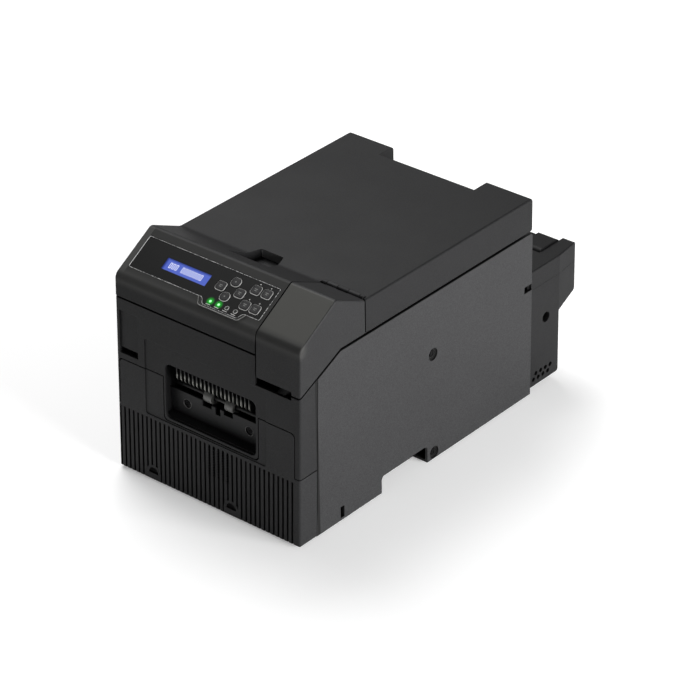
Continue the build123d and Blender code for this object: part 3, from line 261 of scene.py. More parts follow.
# Painted black, for the shade that they lie in: the panels' upper edges under the top
# cover, the upright seams to the front covers, the slots at the rear and the screw holes
rear_abs = moulded_abs("black_abs_covers", "#29292a")
side_abs = moulded_abs("black_abs_side_panels", "#29292a")
tint_where(side_abs, faces_up(side_abs), shade_black)
for side in (-1, 1):
    blacken(side_abs, side, seam_across, *panel_seam)
    blacken(side_abs, side, slot_across, *panel_slot)
    blacken(rear_abs, side, slot_across, *rear_slot)
    for y, z in side_screws:
        blacken(side_abs, side, slot_across, (y - screw_hole, z - screw_hole),
                (y + screw_hole, z + screw_hole))
dress(rear_abs, "rear_cover")
dress(side_abs, "left_side_panel", "right_side_panel")

# Top cover
# One large ABS moulding, hinged at the rear, with the sloped panel at its front. Tints by
# place stand for the light and shade that it shows: the slope round the panel, its left
# margin, the bend below it and the scoop's back wall are painted paler, and the notch's
# wall darker.
slope_foot = (0.0, -0.201824, 0.2055)
slope_angle = math.atan2(30.0, 49.824)
slope_normal = (0.0, -math.sin(slope_angle), math.cos(slope_angle))
slope_level = slope_normal[1] * slope_foot[1] + slope_normal[2] * slope_foot[2]
bend_middle = (0.0, -0.2005, 0.2040)
bend_start = 0.0105
bend_full = 0.0030
# In mm: the lowest and the highest corner
notch_wall = (-57.3, 113.4, 140), (-56.7, 209, 230)
scoop_wall = (-22, -100, 209.5), (4, -99, 217.7)
left_margin = (-112.5, -210, 190), (-104.2, -150, 240)


def on_slope(material):
    """1 on the panel's slope, else 0."""
    height = add_node(material, "ShaderNodeVectorMath",
                      {"operation": "DOT_PRODUCT", 1: slope_normal},
                      {0: add_node(material, "ShaderNodeTexCoord").outputs["Object"]})
    level = add_node(material, "ShaderNodeMath",
                     {"operation": "COMPARE", 1: slope_level, 2: 0.0002},
                     {0: height.outputs["Value"]})
    return level.outputs[0]


def from_axis(material, middle):
    """How far a point is from a line along X through a middle."""
    place = add_node(material, "ShaderNodeTexCoord").outputs["Object"]
    flat = add_node(material, "ShaderNodeVectorMath", {"operation": "MULTIPLY", 1: (0.0, 1.0, 1.0)},
                    {0: place})
    far = add_node(material, "ShaderNodeVectorMath", {"operation": "DISTANCE", 1: middle},
                   {0: flat.outputs[0]})
    return far.outputs["Value"]


def lighten_bend(material, hex_colour):
    """Paints the bend under the panel paler, a painted highlight that is strongest along its
    middle.
    """
    near = add_node(material, "ShaderNodeMapRange",
                    {"interpolation_type": "SMOOTHSTEP", "From Min": bend_start,
                     "From Max": bend_full, "To Max": 0.9},
                    {"Value": from_axis(material, bend_middle)})
    tint_where(material, near.outputs[0], hex_colour)


lid_abs = moulded_abs("black_abs_top_cover", "#171718", gloss=0.16)
tint_where(lid_abs, in_box(lid_abs, *notch_wall), "#060606")
tint_where(lid_abs, in_box(lid_abs, *scoop_wall), "#626262")
# The slope round the panel is painted paler, as painted highlight.
tint_where(lid_abs, on_slope(lid_abs), "#2b2b2a")
margin = add_node(lid_abs, "ShaderNodeMath", {"operation": "MULTIPLY"},
                  {0: on_slope(lid_abs), 1: in_box(lid_abs, *left_margin)})
tint_where(lid_abs, margin.outputs[0], "#454544")
lighten_bend(lid_abs, "#3c3c3b")
dress(lid_abs, "top_cover")

# Release handle
# An ABS moulding that turns on a barrel at the cover's right front corner. Its slope
# carries a bare satin film, paler and warmer than the cover. The bend below the slope is
# painted paler as a painted highlight. What shows of it inside the finger slot is painted
# black, for the shade there.
handle_in_slot = (50, -201.5, 120), (101, -150, 156)
handle_abs = moulded_abs("black_abs_handle", "#1d1d1e", gloss=0.2)
tint_where(handle_abs, on_slope(handle_abs), "#484845")
lighten_bend(handle_abs, "#323231")
tint_where(handle_abs, in_box(handle_abs, *handle_in_slot), "#040404")
dress(handle_abs, "release_handle")

# Front covers
# Two ABS mouldings that interlock, the upper with the label exit and the finger slot, the
# lower with its grooves. The seams to the side panels, the slot's inside and the edge
# under the top cover are painted black, for the shade there.
front_seam = (-183.2, 0), (-180.0, 182)
finger_slot = (50, -202.4, 138), (108, -150, 158)
upper_edge = (-113, -212, 140), (113, -190, 190)
front_abs = moulded_abs("black_abs_front", "#1a1a1b", gloss=0.18)
lower_abs = moulded_abs("black_abs_lower_front", "#212122", gloss=0.18)
for side in (-1, 1):
    for material in (front_abs, lower_abs):
        blacken(material, side, seam_across, *front_seam)
tint_where(front_abs, in_box(front_abs, *finger_slot), "#040404")
edge = add_node(front_abs, "ShaderNodeMath", {"operation": "MULTIPLY"},
                {0: faces_up(front_abs), 1: in_box(front_abs, *upper_edge)})
tint_where(front_abs, edge.outputs[0], shade_black)
dress(front_abs, "front_upper_cover")
dress(lower_abs, "front_lower_cover")

# Rear feeder
# Two halves of moulded ABS that meet in a seam, which is painted black, and a hinged
# cover that shows darker than they do.
feeder_seam = 0.117
feeder_abs = moulded_abs("black_abs_feeder", "#141415", gloss=0.16)
apart = add_node(feeder_abs, "ShaderNodeSeparateXYZ", {},
                 {"Vector": add_node(feeder_abs, "ShaderNodeTexCoord").outputs["Object"]})
seam = add_node(feeder_abs, "ShaderNodeMath", {"operation": "COMPARE", 1: feeder_seam, 2: 0.0005},
                {0: apart.outputs["Z"]})
tint_where(feeder_abs, seam.outputs[0], "#020202")
dress(feeder_abs, "feeder_base", "feeder_top")
dress(moulded_abs("black_abs_feeder_cover", "#0c0c0d", gloss=0.15), "feeder_cover")

# Base tray and feet
# The tray is plain black ABS, smoother than the covers. The feet are discs of soft
# rubber with a faint dusty bloom, pressed into it from below.
dress(moulded_abs("black_abs_tray", "#1b1b1c", 0.6, 0.12), "base_tray")


def mottled(name, dark, light, scale, detail):
    """A material that drifts between two colours, with its shader and its noise."""
    material, shader = new_material(name)
    place = add_node(material, "ShaderNodeTexCoord").outputs["Object"]
    noise = add_node(material, "ShaderNodeTexNoise", {"Scale": scale, "Detail": detail},
                     {"Vector": place})
    tint = add_node(material, "ShaderNodeMix",
                    {"data_type": "RGBA", 6: to_linear(dark), 7: to_linear(light)},
                    {0: noise.outputs["Fac"]})
    material.node_tree.links.new(tint.outputs[2], shader.inputs["Base Color"])
    return material, shader, noise.outputs["Fac"]


foot_rubber, shader, bloom = mottled("black_rubber_feet", "#121212", "#232322", 260.0, 4.0)
bump = add_node(foot_rubber, "ShaderNodeBump", {"Strength": 0.3, "Distance": 0.0002},
                {"Height": bloom})
foot_rubber.node_tree.links.new(bump.outputs["Normal"], shader.inputs["Normal"])
shader.inputs["Roughness"].default_value = 0.82
shader.inputs["IOR"].default_value = 1.52
dress(foot_rubber, "rubber_feet")

# Side frames, hinge brackets, latch shaft, power supply and motor
# Punched from zinc-coated steel sheet. The coating sets in pale and dark spangles some
# 6 mm wide, with fine rolling lines along the sheet. What shows of it in the finger slot
# is painted black, for the shade there.
spangle_size = 0.00625
frame_in_slot = (90, -209, 130), (112, -150, 170)
zinc_steel, shader = new_material("zinc_coated_steel")
place = add_node(zinc_steel, "ShaderNodeTexCoord").outputs["Object"]
spangle = add_node(zinc_steel, "ShaderNodeTexVoronoi",
                   {"Scale": 1 / spangle_size, "Randomness": 1.0},
                   {"Vector": place})
stretch = add_node(zinc_steel, "ShaderNodeMapping", {"Scale": (40.0, 40.0, 1800.0)},
                   {"Vector": place})
rolled = add_node(zinc_steel, "ShaderNodeTexNoise", {"Scale": 1.0, "Detail": 2.0},
                  {"Vector": stretch.outputs[0]})
grey = add_node(zinc_steel, "ShaderNodeSeparateColor", {},
                {"Color": spangle.outputs["Color"]}).outputs
tint = add_node(zinc_steel, "ShaderNodeMix",
                {"data_type": "RGBA", 6: to_linear("#8e9294"), 7: to_linear("#b9bcbd")},
                {0: grey["Red"]})
dull = add_node(zinc_steel, "ShaderNodeMapRange", {"To Min": 0.3, "To Max": 0.46},
                {"Value": grey["Green"]})
bump = add_node(zinc_steel, "ShaderNodeBump", {"Strength": 0.12, "Distance": 0.0001},
                {"Height": rolled.outputs["Fac"]})
links = zinc_steel.node_tree.links
links.new(tint.outputs[2], shader.inputs["Base Color"])
links.new(dull.outputs[0], shader.inputs["Roughness"])
links.new(bump.outputs["Normal"], shader.inputs["Normal"])
shader.inputs["Metallic"].default_value = 1.0
tint_where(zinc_steel, in_box(zinc_steel, *frame_in_slot), "#080808")
dress(zinc_steel, "left_side_frame", "right_side_frame", "hinge_brackets", "latch_shaft",
      "power_supply", "drive_motor")

# Circuit boards
# Glass-fibre board under green solder mask, with copper tracks that show through it as
# lighter lines on a 2.5 mm grid.
track_pitch = 0.0025
board_green, shader = new_material("green_solder_mask_board")
turned = add_node(board_green, "ShaderNodeMapping", {"Rotation": (0.0, math.pi / 2, 0.0)},
                  {"Vector": add_node(board_green, "ShaderNodeTexCoord").outputs["Object"]})
track = add_node(board_green, "ShaderNodeTexBrick",
                 {"Scale": 1 / track_pitch, "Mortar Size": 0.08,
                  "Brick Width": 3.0, "Row Height": 1.0,
                  "Color1": to_linear("#0f3d1f"), "Color2": to_linear("#124a26"),
                  "Mortar": to_linear("#3f8f52")},
                 {"Vector": turned.outputs[0]})
bump = add_node(board_green, "ShaderNodeBump", {"Strength": 0.3, "Distance": 0.00005},
                {"Height": track.outputs["Fac"]})
board_green.node_tree.links.new(track.outputs["Color"], shader.inputs["Base Color"])
board_green.node_tree.links.new(bump.outputs["Normal"], shader.inputs["Normal"])
shader.inputs["Roughness"].default_value = 0.32
shader.inputs["IOR"].default_value = 1.55
dress(board_green, "main_board", "panel_board")

# Inner mouldings
# Gearbox, fuser housing, belt frame and image unit frames are black glass-filled nylon.
# It is smoother than the covers, with faint flow marks, and it is painted black behind
# the finger slot, for the shade there.
fuser_in_slot = (48, -168.5, 112), (112, -166, 142)
inner_nylon = moulded_abs("black_nylon_inner", "#202021", 0.42, 0.1)
tint_where(inner_nylon, in_box(inner_nylon, *fuser_in_slot), shade_black)
dress(inner_nylon, "drive_gearbox", "power_inlet", "fuser_housing", "belt_frame", "led_heads",
      "image_unit_black", "image_unit_yellow", "image_unit_magenta", "image_unit_cyan")
dress(moulded_abs("black_nylon_switch", "#151516", 0.28, 0.05), "rocker_switch")

# Rollers
# Steel shafts carry sleeves of rubber that are ground round, which leaves fine rings.
# They are drawn 1.6 mm apart, coarser than the real ones. The exit rollers' shaft shows
# dark in the exit, so it is painted black.
roller_ring = 0.0016
wave_unit = 0.314
exit_axis = (0.0, -0.1875, 0.107)
exit_shaft_reach = 0.0035


def ground_rubber(name, light, dark, roughness):
    """A rubber sleeve with ground rings. At scale 1 a wave texture's rings are 0.314 m apart."""
    material, shader = new_material(name)
    place = add_node(material, "ShaderNodeTexCoord").outputs["Object"]
    rings = add_node(material, "ShaderNodeTexWave",
                     {"Scale": wave_unit / roller_ring, "Distortion": 1.5, "Detail": 2.0},
                     {"Vector": place})
    dust = add_node(material, "ShaderNodeTexNoise", {"Scale": 300.0, "Detail": 3.0},
                    {"Vector": place})
    both = add_node(material, "ShaderNodeMath", {"operation": "MULTIPLY"},
                    {0: rings.outputs["Fac"], 1: dust.outputs["Fac"]})
    tint = add_node(material, "ShaderNodeMix",
                    {"data_type": "RGBA", 6: to_linear(dark), 7: to_linear(light)},
                    {0: both.outputs[0]})
    bump = add_node(material, "ShaderNodeBump", {"Strength": 0.2, "Distance": 0.0001},
                    {"Height": both.outputs[0]})
    material.node_tree.links.new(tint.outputs[2], shader.inputs["Base Color"])
    material.node_tree.links.new(bump.outputs["Normal"], shader.inputs["Normal"])
    shader.inputs["Roughness"].default_value = roughness
    return material


exit_rubber = ground_rubber("dark_grey_ground_rubber", "#7d7d7a", "#5a5a58", 0.42)
shaft = add_node(exit_rubber, "ShaderNodeMath", {"operation": "LESS_THAN", 1: exit_shaft_reach},
                 {0: from_axis(exit_rubber, exit_axis)})
tint_where(exit_rubber, shaft.outputs[0], "#050505")
dress(exit_rubber, "exit_roller")
dress(ground_rubber("grey_ground_rubber", "#a6a6a0", "#8b8b86", 0.6),
      "feed_roller", "belt_idler_roller")
dress(ground_rubber("black_ground_rubber", "#3a3a3a", "#262626", 0.55),
      "belt_drive_roller", "pressure_roller", "fuser_roller")

# Transfer belt
# A seamless loop of carbon-filled polyimide film, nearly black and smooth, with light
# streaks along its travel.
belt_film, shader = new_material("black_polyimide_belt")
place = add_node(belt_film, "ShaderNodeTexCoord").outputs["Object"]
stretch = add_node(belt_film, "ShaderNodeMapping", {"Scale": (900.0, 12.0, 12.0)},
                   {"Vector": place})
streak = add_node(belt_film, "ShaderNodeTexNoise", {"Scale": 1.0, "Detail": 3.0},
                  {"Vector": stretch.outputs[0]})
tint = add_node(belt_film, "ShaderNodeMix",
                {"data_type": "RGBA", 6: to_linear("#161617"), 7: to_linear("#242426")},
                {0: streak.outputs["Fac"]})
dull = add_node(belt_film, "ShaderNodeMapRange", {"To Min": 0.16, "To Max": 0.3},
                {"Value": streak.outputs["Fac"]})
belt_film.node_tree.links.new(tint.outputs[2], shader.inputs["Base Color"])
belt_film.node_tree.links.new(dull.outputs[0], shader.inputs["Roughness"])
dress(belt_film, "transfer_belt")

# Image drums
# Aluminium tubes with a thin organic coating, deep green and very smooth, so that they
# look glossy and slightly cloudy.
drum_coat, shader, cloud = mottled("green_drum_coating", "#1c6b58", "#278170", 60.0, 2.0)
shader.inputs["Roughness"].default_value = 0.14
shader.inputs["Coat Weight"].default_value = 0.4
dress(drum_coat, "image_drum_black", "image_drum_yellow", "image_drum_magenta", "image_drum_cyan")

# Toner cartridges
# Moulded polystyrene bottles, one in each toner's own colour, with a light satin skin
# that is smoother than the covers.
toner_colours = {"black": "#1e1e1f", "yellow": "#e0b81c", "magenta": "#b5246a", "cyan": "#1478b4"}
for toner, hue in toner_colours.items():
    dress(moulded_abs("satin_polystyrene_" + toner, hue, 0.38, 0.08), "toner_cartridge_" + toner)

# Exit guide and comb
# The guide is a smooth black moulding behind the opening, painted blacker inside for the
# shade there. The comb's ribs carry a painted highlight at their lower tips, more on some
# than on others.
guide_inside = (-80, -193.4, 60), (80, -100, 140)
pale_tips = (("Y", -0.1990, -0.2002), ("Z", 0.1176, 0.1196), ("Z", 0.1275, 0.1235))
guide_abs = moulded_abs("black_abs_exit_guide", "#1a1a1b", 0.5, 0.1, 0.2)
tint_where(guide_abs, in_box(guide_abs, *guide_inside), "#040404")
dress(guide_abs, "exit_guide")
comb_abs = moulded_abs("black_abs_exit_comb", "#161617", 0.4, 0.1)
place = add_node(comb_abs, "ShaderNodeTexCoord").outputs["Object"]
apart = add_node(comb_abs, "ShaderNodeSeparateXYZ", {}, {"Vector": place}).outputs
uneven = add_node(comb_abs, "ShaderNodeTexNoise", {"Scale": 170.0, "Detail": 1.0},
                  {"Vector": place})
painted_highlight = add_node(comb_abs, "ShaderNodeMapRange", {"From Min": 0.35, "From Max": 0.6, "To Min": 0.25},
                {"Value": uneven.outputs["Fac"]})
for way, start, full in pale_tips:
    near = add_node(comb_abs, "ShaderNodeMapRange", {"From Min": start, "From Max": full},
                    {"Value": apart[way]})
    painted_highlight = add_node(comb_abs, "ShaderNodeMath", {"operation": "MULTIPLY"},
                    {0: painted_highlight.outputs[0], 1: near.outputs[0]})
tint_where(comb_abs, painted_highlight.outputs[0], "#a3a39d")
dress(comb_abs, "exit_comb")

# Cover screws
# Pan-head screws of black-zinc-plated steel with a cross recess, four low in their
# round recesses on the side panels and two in the exit guide. The plating is smooth, so
# each head shows one small glint.
head_radius = 0.0032
head_height = 0.0012
head_round = 0.0005
cross_arm = (0.0036, 0.0009, 0.0013)
side_screw_seat = 0.1102
side_screw_scale = 1.25
guide_screws = (-0.03425, 0.04175)
guide_screw_seat = -0.1932
guide_screw_height = 0.0925


def select_faces(piece, test):
    """In edit mode, selects the faces that pass a test and nothing else."""
    bpy.ops.mesh.select_all(action="DESELECT")
    mesh = bmesh.from_edit_mesh(piece.data)
    for face in mesh.faces:
        face.select = bool(test(face))
    mesh.select_flush_mode()
    bmesh.update_edit_mesh(piece.data)


def set_in_place(piece, matrix):
    """Moves a finished piece by a matrix and writes its place into its mesh."""
    piece.data.transform(matrix @ piece.matrix_world)
    piece.matrix_world = Matrix.Identity(4)


def copy_of(piece, name, matrix):
    """A copy with its own mesh, moved by a matrix."""
    twin = piece.copy()
    twin.data = piece.data.copy()
    twin.name = name
    bpy.context.scene.collection.objects.link(twin)
    twin.data.transform(matrix)
    return twin


def join_as(name, pieces, material):
    """Joins pieces into one with one finish."""
    bpy.ops.object.select_all(action="DESELECT")
    for piece in pieces:
        piece.select_set(True)
    bpy.context.view_layer.objects.active = pieces[0]
    if len(pieces) > 1:
        bpy.ops.object.join()
    piece = bpy.context.view_layer.objects.active
    piece.name = name
    piece.data.name = name
    piece.data.materials.clear()
    piece.data.materials.append(material)
    piece.select_set(False)
    return piece


black_zinc, shader, pits = mottled("black_zinc_plated_steel", "#040405", "#0e0e0f", 1500.0, 2.0)
shader.inputs["Metallic"].default_value = 1.0
shader.inputs["Roughness"].default_value = 0.34
bpy.ops.mesh.primitive_cylinder_add(vertices=40, radius=head_radius, depth=head_height,
                                    location=(0, 0, head_height / 2))
screw = bpy.context.object
bpy.ops.object.mode_set(mode="EDIT")
select_faces(screw, lambda f: f.normal.z > 0.9)
bpy.ops.mesh.bevel(offset=head_round, segments=4)
bpy.ops.object.mode_set(mode="OBJECT")
for turn in (0, math.pi / 2):
    bpy.ops.mesh.primitive_cube_add(size=1, location=(0, 0, head_height), rotation=(0, 0, turn))
    cutter = bpy.context.object
    bpy.ops.transform.resize(value=cross_arm)
    bpy.ops.object.select_all(action="DESELECT")
    bpy.context.view_layer.objects.active = screw
    screw.select_set(True)
    cut = screw.modifiers.new("cross", "BOOLEAN")
    cut.object = cutter
    cut.operation = "DIFFERENCE"
    bpy.ops.object.modifier_apply(modifier="cross")
    bpy.data.objects.remove(cutter)
bpy.ops.object.shade_smooth_by_angle(angle=math.radians(35))
screws = []
widen = Matrix.Diagonal((side_screw_scale, side_screw_scale, 1.0, 1.0))
for side in (-1, 1):
    facing = Matrix.Rotation(side * math.pi / 2, 4, "Y") @ widen
    for y, z in side_screws:
        seat = Matrix.Translation((side * side_screw_seat, y / 1000, z / 1000))
        screws.append(copy_of(screw, "screw", seat @ facing))
for x in guide_screws:
    seat = Matrix.Translation((x, guide_screw_seat, guide_screw_height))
    screws.append(copy_of(screw, "screw", seat @ Matrix.Rotation(math.pi / 2, 4, "X")))
bpy.data.objects.remove(screw)
screws = join_as("cover_screw_heads", screws, black_zinc)
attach(screws, "body")
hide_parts("cover_screws")

# Rims of the exit guide's screw holes
# The guide's moulding stands up a little round each screw, and its rim is painted grey, a
# painted highlight that shows as a ring.
rim_seat = -0.1943
rim_radius = 0.0047
rim_round = 0.00035
rim_abs, shader, rim_sheen = mottled("abs_rim_highlight", "#3c3c3b", "#5c5c5a", 400.0, 2.0)
shader.inputs["Roughness"].default_value = 0.4
rims = []
for x in guide_screws:
    bpy.ops.mesh.primitive_torus_add(
        location=(x, rim_seat, guide_screw_height), rotation=(math.pi / 2, 0, 0),
        major_segments=40, minor_segments=8, major_radius=rim_radius, minor_radius=rim_round)
    bpy.ops.object.shade_smooth()
    set_in_place(bpy.context.object, Matrix.Identity(4))
    rims.append(bpy.context.object)
rims = join_as("exit_screw_rims", rims, rim_abs)
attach(rims, "body")

# Control panel overlay
# A satin polycarbonate film, printed near-black on its back. Round the two lit lamps the
# film carries a painted green glow of their light, within about 5 mm.
panel_matrix = Matrix.Translation(slope_foot) @ Matrix.Rotation(slope_angle, 4, "X")
lamp_row = 0.0114
lamp_columns = [-0.0024 + 0.01 * n for n in range(4)]
spill_start = 0.0050
spill_full = 0.0012
lit_lamps = [panel_matrix @ Vector((x, lamp_row, 0)) for x in lamp_columns[:2]]
panel_film, shader, fine = mottled("satin_polycarbonate_film", "#0f0f0f", "#171717", 1200.0, 2.0)
place = add_node(panel_film, "ShaderNodeTexCoord").outputs["Object"]
bump = add_node(panel_film, "ShaderNodeBump", {"Strength": 0.08, "Distance": 0.0001},
                {"Height": fine})
spills = []
for spot in lit_lamps:
    far = add_node(panel_film, "ShaderNodeVectorMath", {"operation": "DISTANCE", 1: spot},
                   {0: place})
    spills.append(add_node(
        panel_film, "ShaderNodeMapRange",
        {"interpolation_type": "SMOOTHSTEP", "From Min": spill_start, "From Max": spill_full,
         "To Max": 0.55},
        {"Value": far.outputs["Value"]}))
spill = add_node(panel_film, "ShaderNodeMath", {"operation": "ADD"},
                 {0: spills[0].outputs[0], 1: spills[1].outputs[0]})
links = panel_film.node_tree.links
links.new(bump.outputs["Normal"], shader.inputs["Normal"])
links.new(spill.outputs[0], shader.inputs["Emission Strength"])
shader.inputs["Emission Color"].default_value = to_linear("#12d632")
shader.inputs["Roughness"].default_value = 0.36
shader.inputs["IOR"].default_value = 1.58
shader.inputs["Specular IOR Level"].default_value = 0.12
dress(panel_film, "panel_overlay")

# Silver line round the overlay
# A narrow pale line that runs round the film's edge and its lamp tab: a painted highlight
# where the recess edge catches light, whole along the left edge and broken into dashes
# elsewhere.
line_width = 0.0004
line_height = 0.0003
line_round = 0.0016
line_middle = (-0.02425, 0.0299, -0.0002)
line_size = (0.1591, 0.0358, 1)
lower_side = 0.0121
tab_ends = (-0.0128, 0.0368)
tab_depth = 0.0062
tab_taper = 0.84
edge_highlight, shader = new_material("recess_edge_highlight")
place = add_node(edge_highlight, "ShaderNodeTexCoord").outputs["Object"]
painted_highlight = add_node(edge_highlight, "ShaderNodeTexNoise", {"Scale": 700.0, "Detail": 1.0},
                {"Vector": place})
apart = add_node(edge_highlight, "ShaderNodeSeparateXYZ", {}, {"Vector": place})
whole = add_node(edge_highlight, "ShaderNodeMapRange", {"From Min": -0.1020, "From Max": -0.1033},
                 {"Value": apart.outputs["X"]})
broken = add_node(edge_highlight, "ShaderNodeMapRange", {"From Min": 0.42, "From Max": 0.58},
                  {"Value": painted_highlight.outputs["Fac"]})
bright = add_node(edge_highlight, "ShaderNodeMath", {"operation": "MAXIMUM"},
                  {0: whole.outputs[0], 1: broken.outputs[0]})
tint = add_node(edge_highlight, "ShaderNodeMix",
                {"data_type": "RGBA", 6: to_linear("#505151"), 7: to_linear("#d4d4d4")},
                {0: bright.outputs[0]})
edge_highlight.node_tree.links.new(tint.outputs[2], shader.inputs["Base Color"])
shader.inputs["Metallic"].default_value = 0.2
shader.inputs["Roughness"].default_value = 0.4
bpy.ops.mesh.primitive_plane_add(size=1, location=line_middle)
foil = bpy.context.object
bpy.ops.transform.resize(value=line_size)
bpy.ops.object.transform_apply()
bpy.ops.object.mode_set(mode="EDIT")
for x in tab_ends:
    bpy.ops.mesh.select_all(action="SELECT")
    bpy.ops.mesh.bisect(plane_co=(x, 0, 0), plane_no=(1, 0, 0))
bpy.ops.mesh.select_mode(type="EDGE")
bpy.ops.mesh.select_all(action="DESELECT")
mesh = bmesh.from_edit_mesh(foil.data)
for edge in mesh.edges:
    middle = (edge.verts[0].co + edge.verts[1].co) / 2
    edge.select = middle.y < lower_side and tab_ends[0] < middle.x < tab_ends[1]
bmesh.update_edit_mesh(foil.data)
bpy.ops.mesh.extrude_region_move(TRANSFORM_OT_translate={"value": (0, -tab_depth, 0)})
bpy.ops.transform.resize(value=(tab_taper, 1, 1), center_override=(sum(tab_ends) / 2, 0, 0))
bpy.ops.mesh.select_mode(type="VERT")
bpy.ops.mesh.select_all(action="SELECT")
bpy.ops.mesh.dissolve_limited()
bpy.ops.mesh.select_all(action="SELECT")
bpy.ops.mesh.bevel(offset=line_round, segments=5, affect="VERTICES")
bpy.ops.mesh.select_all(action="SELECT")
bpy.ops.mesh.inset(thickness=line_width)
bpy.ops.mesh.delete(type="FACE")
bpy.ops.mesh.select_all(action="SELECT")
bpy.ops.mesh.extrude_region_move(TRANSFORM_OT_translate={"value": (0, 0, line_height)})
bpy.ops.mesh.select_all(action="SELECT")
bpy.ops.mesh.normals_make_consistent(inside=False)
bpy.ops.object.mode_set(mode="OBJECT")
set_in_place(foil, panel_matrix)
foil = join_as("panel_silver_line", [foil], edge_highlight)
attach(foil, "lid")

# Edge of the lamp tab's lip
# The crest of the cover's raised lip catches light round the overlay's lamp tab. A thin
# pale bead that lies along the crest paints that highlight.
lip_radius = 0.0004
lip_height = 0.00092
lip_points = ((-0.0163, 0.0116), (-0.0122, 0.0048), (-0.0104, 0.0037),
              (0.0344, 0.0037), (0.0362, 0.0048), (0.0403, 0.0116))
lip_highlight, shader, painted_highlight = mottled("lip_highlight_edge", "#4c4c4b", "#8e8e8c", 500.0, 2.0)
shader.inputs["Roughness"].default_value = 0.35
spots = [Vector((x, y, lip_height)) for x, y in lip_points]
bpy.ops.mesh.primitive_circle_add(vertices=8, radius=lip_radius, location=(0, 0, 0))
bead = bpy.context.object
bpy.ops.object.mode_set(mode="EDIT")
bpy.ops.mesh.select_all(action="SELECT")
bpy.ops.transform.rotate(value=-math.pi / 2, orient_axis="Y", center_override=(0, 0, 0))
bpy.ops.transform.translate(value=spots[0])
for n, spot in enumerate(spots[1:], 1):
    bpy.ops.mesh.extrude_region_move(TRANSFORM_OT_translate={"value": spot - spots[n - 1]})
bpy.ops.mesh.select_all(action="SELECT")
bpy.ops.mesh.normals_make_consistent(inside=False)
bpy.ops.object.mode_set(mode="OBJECT")
set_in_place(bead, panel_matrix)
bead = join_as("lip_edge_line", [bead], lip_highlight)
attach(bead, "lid")

# Screen
# A back-lit liquid crystal module: blue, with a darker band along its left and top where
# its frame shades it. Pale hollow cells stand on it in two groups.
screen_glass, shader = new_material("blue_backlit_screen")
place = add_node(screen_glass, "ShaderNodeTexCoord").outputs["Object"]
apart = add_node(screen_glass, "ShaderNodeSeparateXYZ", {}, {"Vector": place})
left = add_node(screen_glass, "ShaderNodeMapRange", {"From Min": -0.0708, "From Max": -0.0684},
                {"Value": apart.outputs["X"]})
top = add_node(screen_glass, "ShaderNodeMapRange", {"From Min": 0.2232, "From Max": 0.2220},
               {"Value": apart.outputs["Z"]})
lit = add_node(screen_glass, "ShaderNodeMath", {"operation": "MINIMUM"},
               {0: left.outputs[0], 1: top.outputs[0]})
dots = add_node(screen_glass, "ShaderNodeTexNoise", {"Scale": 700.0, "Detail": 1.0},
                {"Vector": place})
flicker = add_node(screen_glass, "ShaderNodeMapRange", {"To Min": 0.9, "To Max": 1.2},
                   {"Value": dots.outputs["Fac"]})
lit = add_node(screen_glass, "ShaderNodeMath", {"operation": "MULTIPLY_ADD", 2: -0.06},
               {0: lit.outputs[0], 1: flicker.outputs[0]})
tint = add_node(screen_glass, "ShaderNodeMix",
                {"data_type": "RGBA", 6: to_linear("#25347c"), 7: to_linear("#5468c8")},
                {0: lit.outputs[0]})
screen_glass.node_tree.links.new(tint.outputs[2], shader.inputs["Emission Color"])
shader.inputs["Base Color"].default_value = to_linear("#141c3c")
shader.inputs["Emission Strength"].default_value = 0.95
shader.inputs["Roughness"].default_value = 0.12
shader.inputs["IOR"].default_value = 1.52
dress(screen_glass, "lcd_screen")
cell_size = (0.0026, 0.0060, 1)
cell_round = 0.0005
cell_line = 0.0007
cell_start = (-0.0640, 0.0286, -0.00046)
cell_pitch = 0.00372
cell_columns = (0, 1, 2, 4, 5, 6, 7, 8, 9, 10)
pale_segments, shader = new_material("pale_crystal_segments")
shader.inputs["Base Color"].default_value = to_linear("#3a4260")
shader.inputs["Emission Color"].default_value = to_linear("#eef2ff")
shader.inputs["Emission Strength"].default_value = 1.0
shader.inputs["Roughness"].default_value = 0.2
cells = []
for column in cell_columns:
    place = (cell_start[0] + cell_pitch * column, *cell_start[1:])
    bpy.ops.mesh.primitive_plane_add(size=1, location=place)
    cell = bpy.context.object
    bpy.ops.transform.resize(value=cell_size)
    bpy.ops.object.transform_apply()
    bpy.ops.object.mode_set(mode="EDIT")
    bpy.ops.mesh.select_all(action="SELECT")
    bpy.ops.mesh.bevel(offset=cell_round, segments=3, affect="VERTICES")
    bpy.ops.mesh.select_all(action="SELECT")
    bpy.ops.mesh.inset(thickness=cell_line)
    bpy.ops.mesh.delete(type="FACE")
    bpy.ops.object.mode_set(mode="OBJECT")
    set_in_place(cell, panel_matrix)
    cells.append(cell)
cells = join_as("screen_bars", cells, pale_segments)
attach(cells, "lid")

# Keys
# Moulded silicone caps, satin black, that rise through the film. A pale printed line runs
# round each, drawn thicker on the right and below as a painted highlight of its rim, and
# each cap has a plain dim mark.
ring_size = (0.0108, 0.0098)
ring_round = 0.0028
oval_round = 0.0044
ring_line = 0.0004
ring_shift = 0.00026
mark_level = 0.00073
mark_line = 0.0007
arrow_radius = 0.0011
key_spots = {
    "back": (-0.0026, 0.0289), "up": (0.0092, 0.0376),
    "down": (0.0080, 0.0206), "enter": (0.0200, 0.0289),
    "menu": (0.0330, 0.0378), "cancel": (0.0456, 0.0380),
    "online": (0.0324, 0.0204), "feed": (0.0444, 0.0204),
}
dress(moulded_abs("black_silicone_keys", "#2a2a2b", 0.4, 0.08),
      *["key_" + name for name in key_spots])
pale_ink, shader, thin = mottled("pale_screen_ink", "#b4b4b2", "#ececea", 900.0, 2.0)
shader.inputs["Roughness"].default_value = 0.45
dim_ink, shader, thin = mottled("dim_key_ink", "#6a6a68", "#8e8e8c", 900.0, 2.0)
shader.inputs["Roughness"].default_value = 0.5


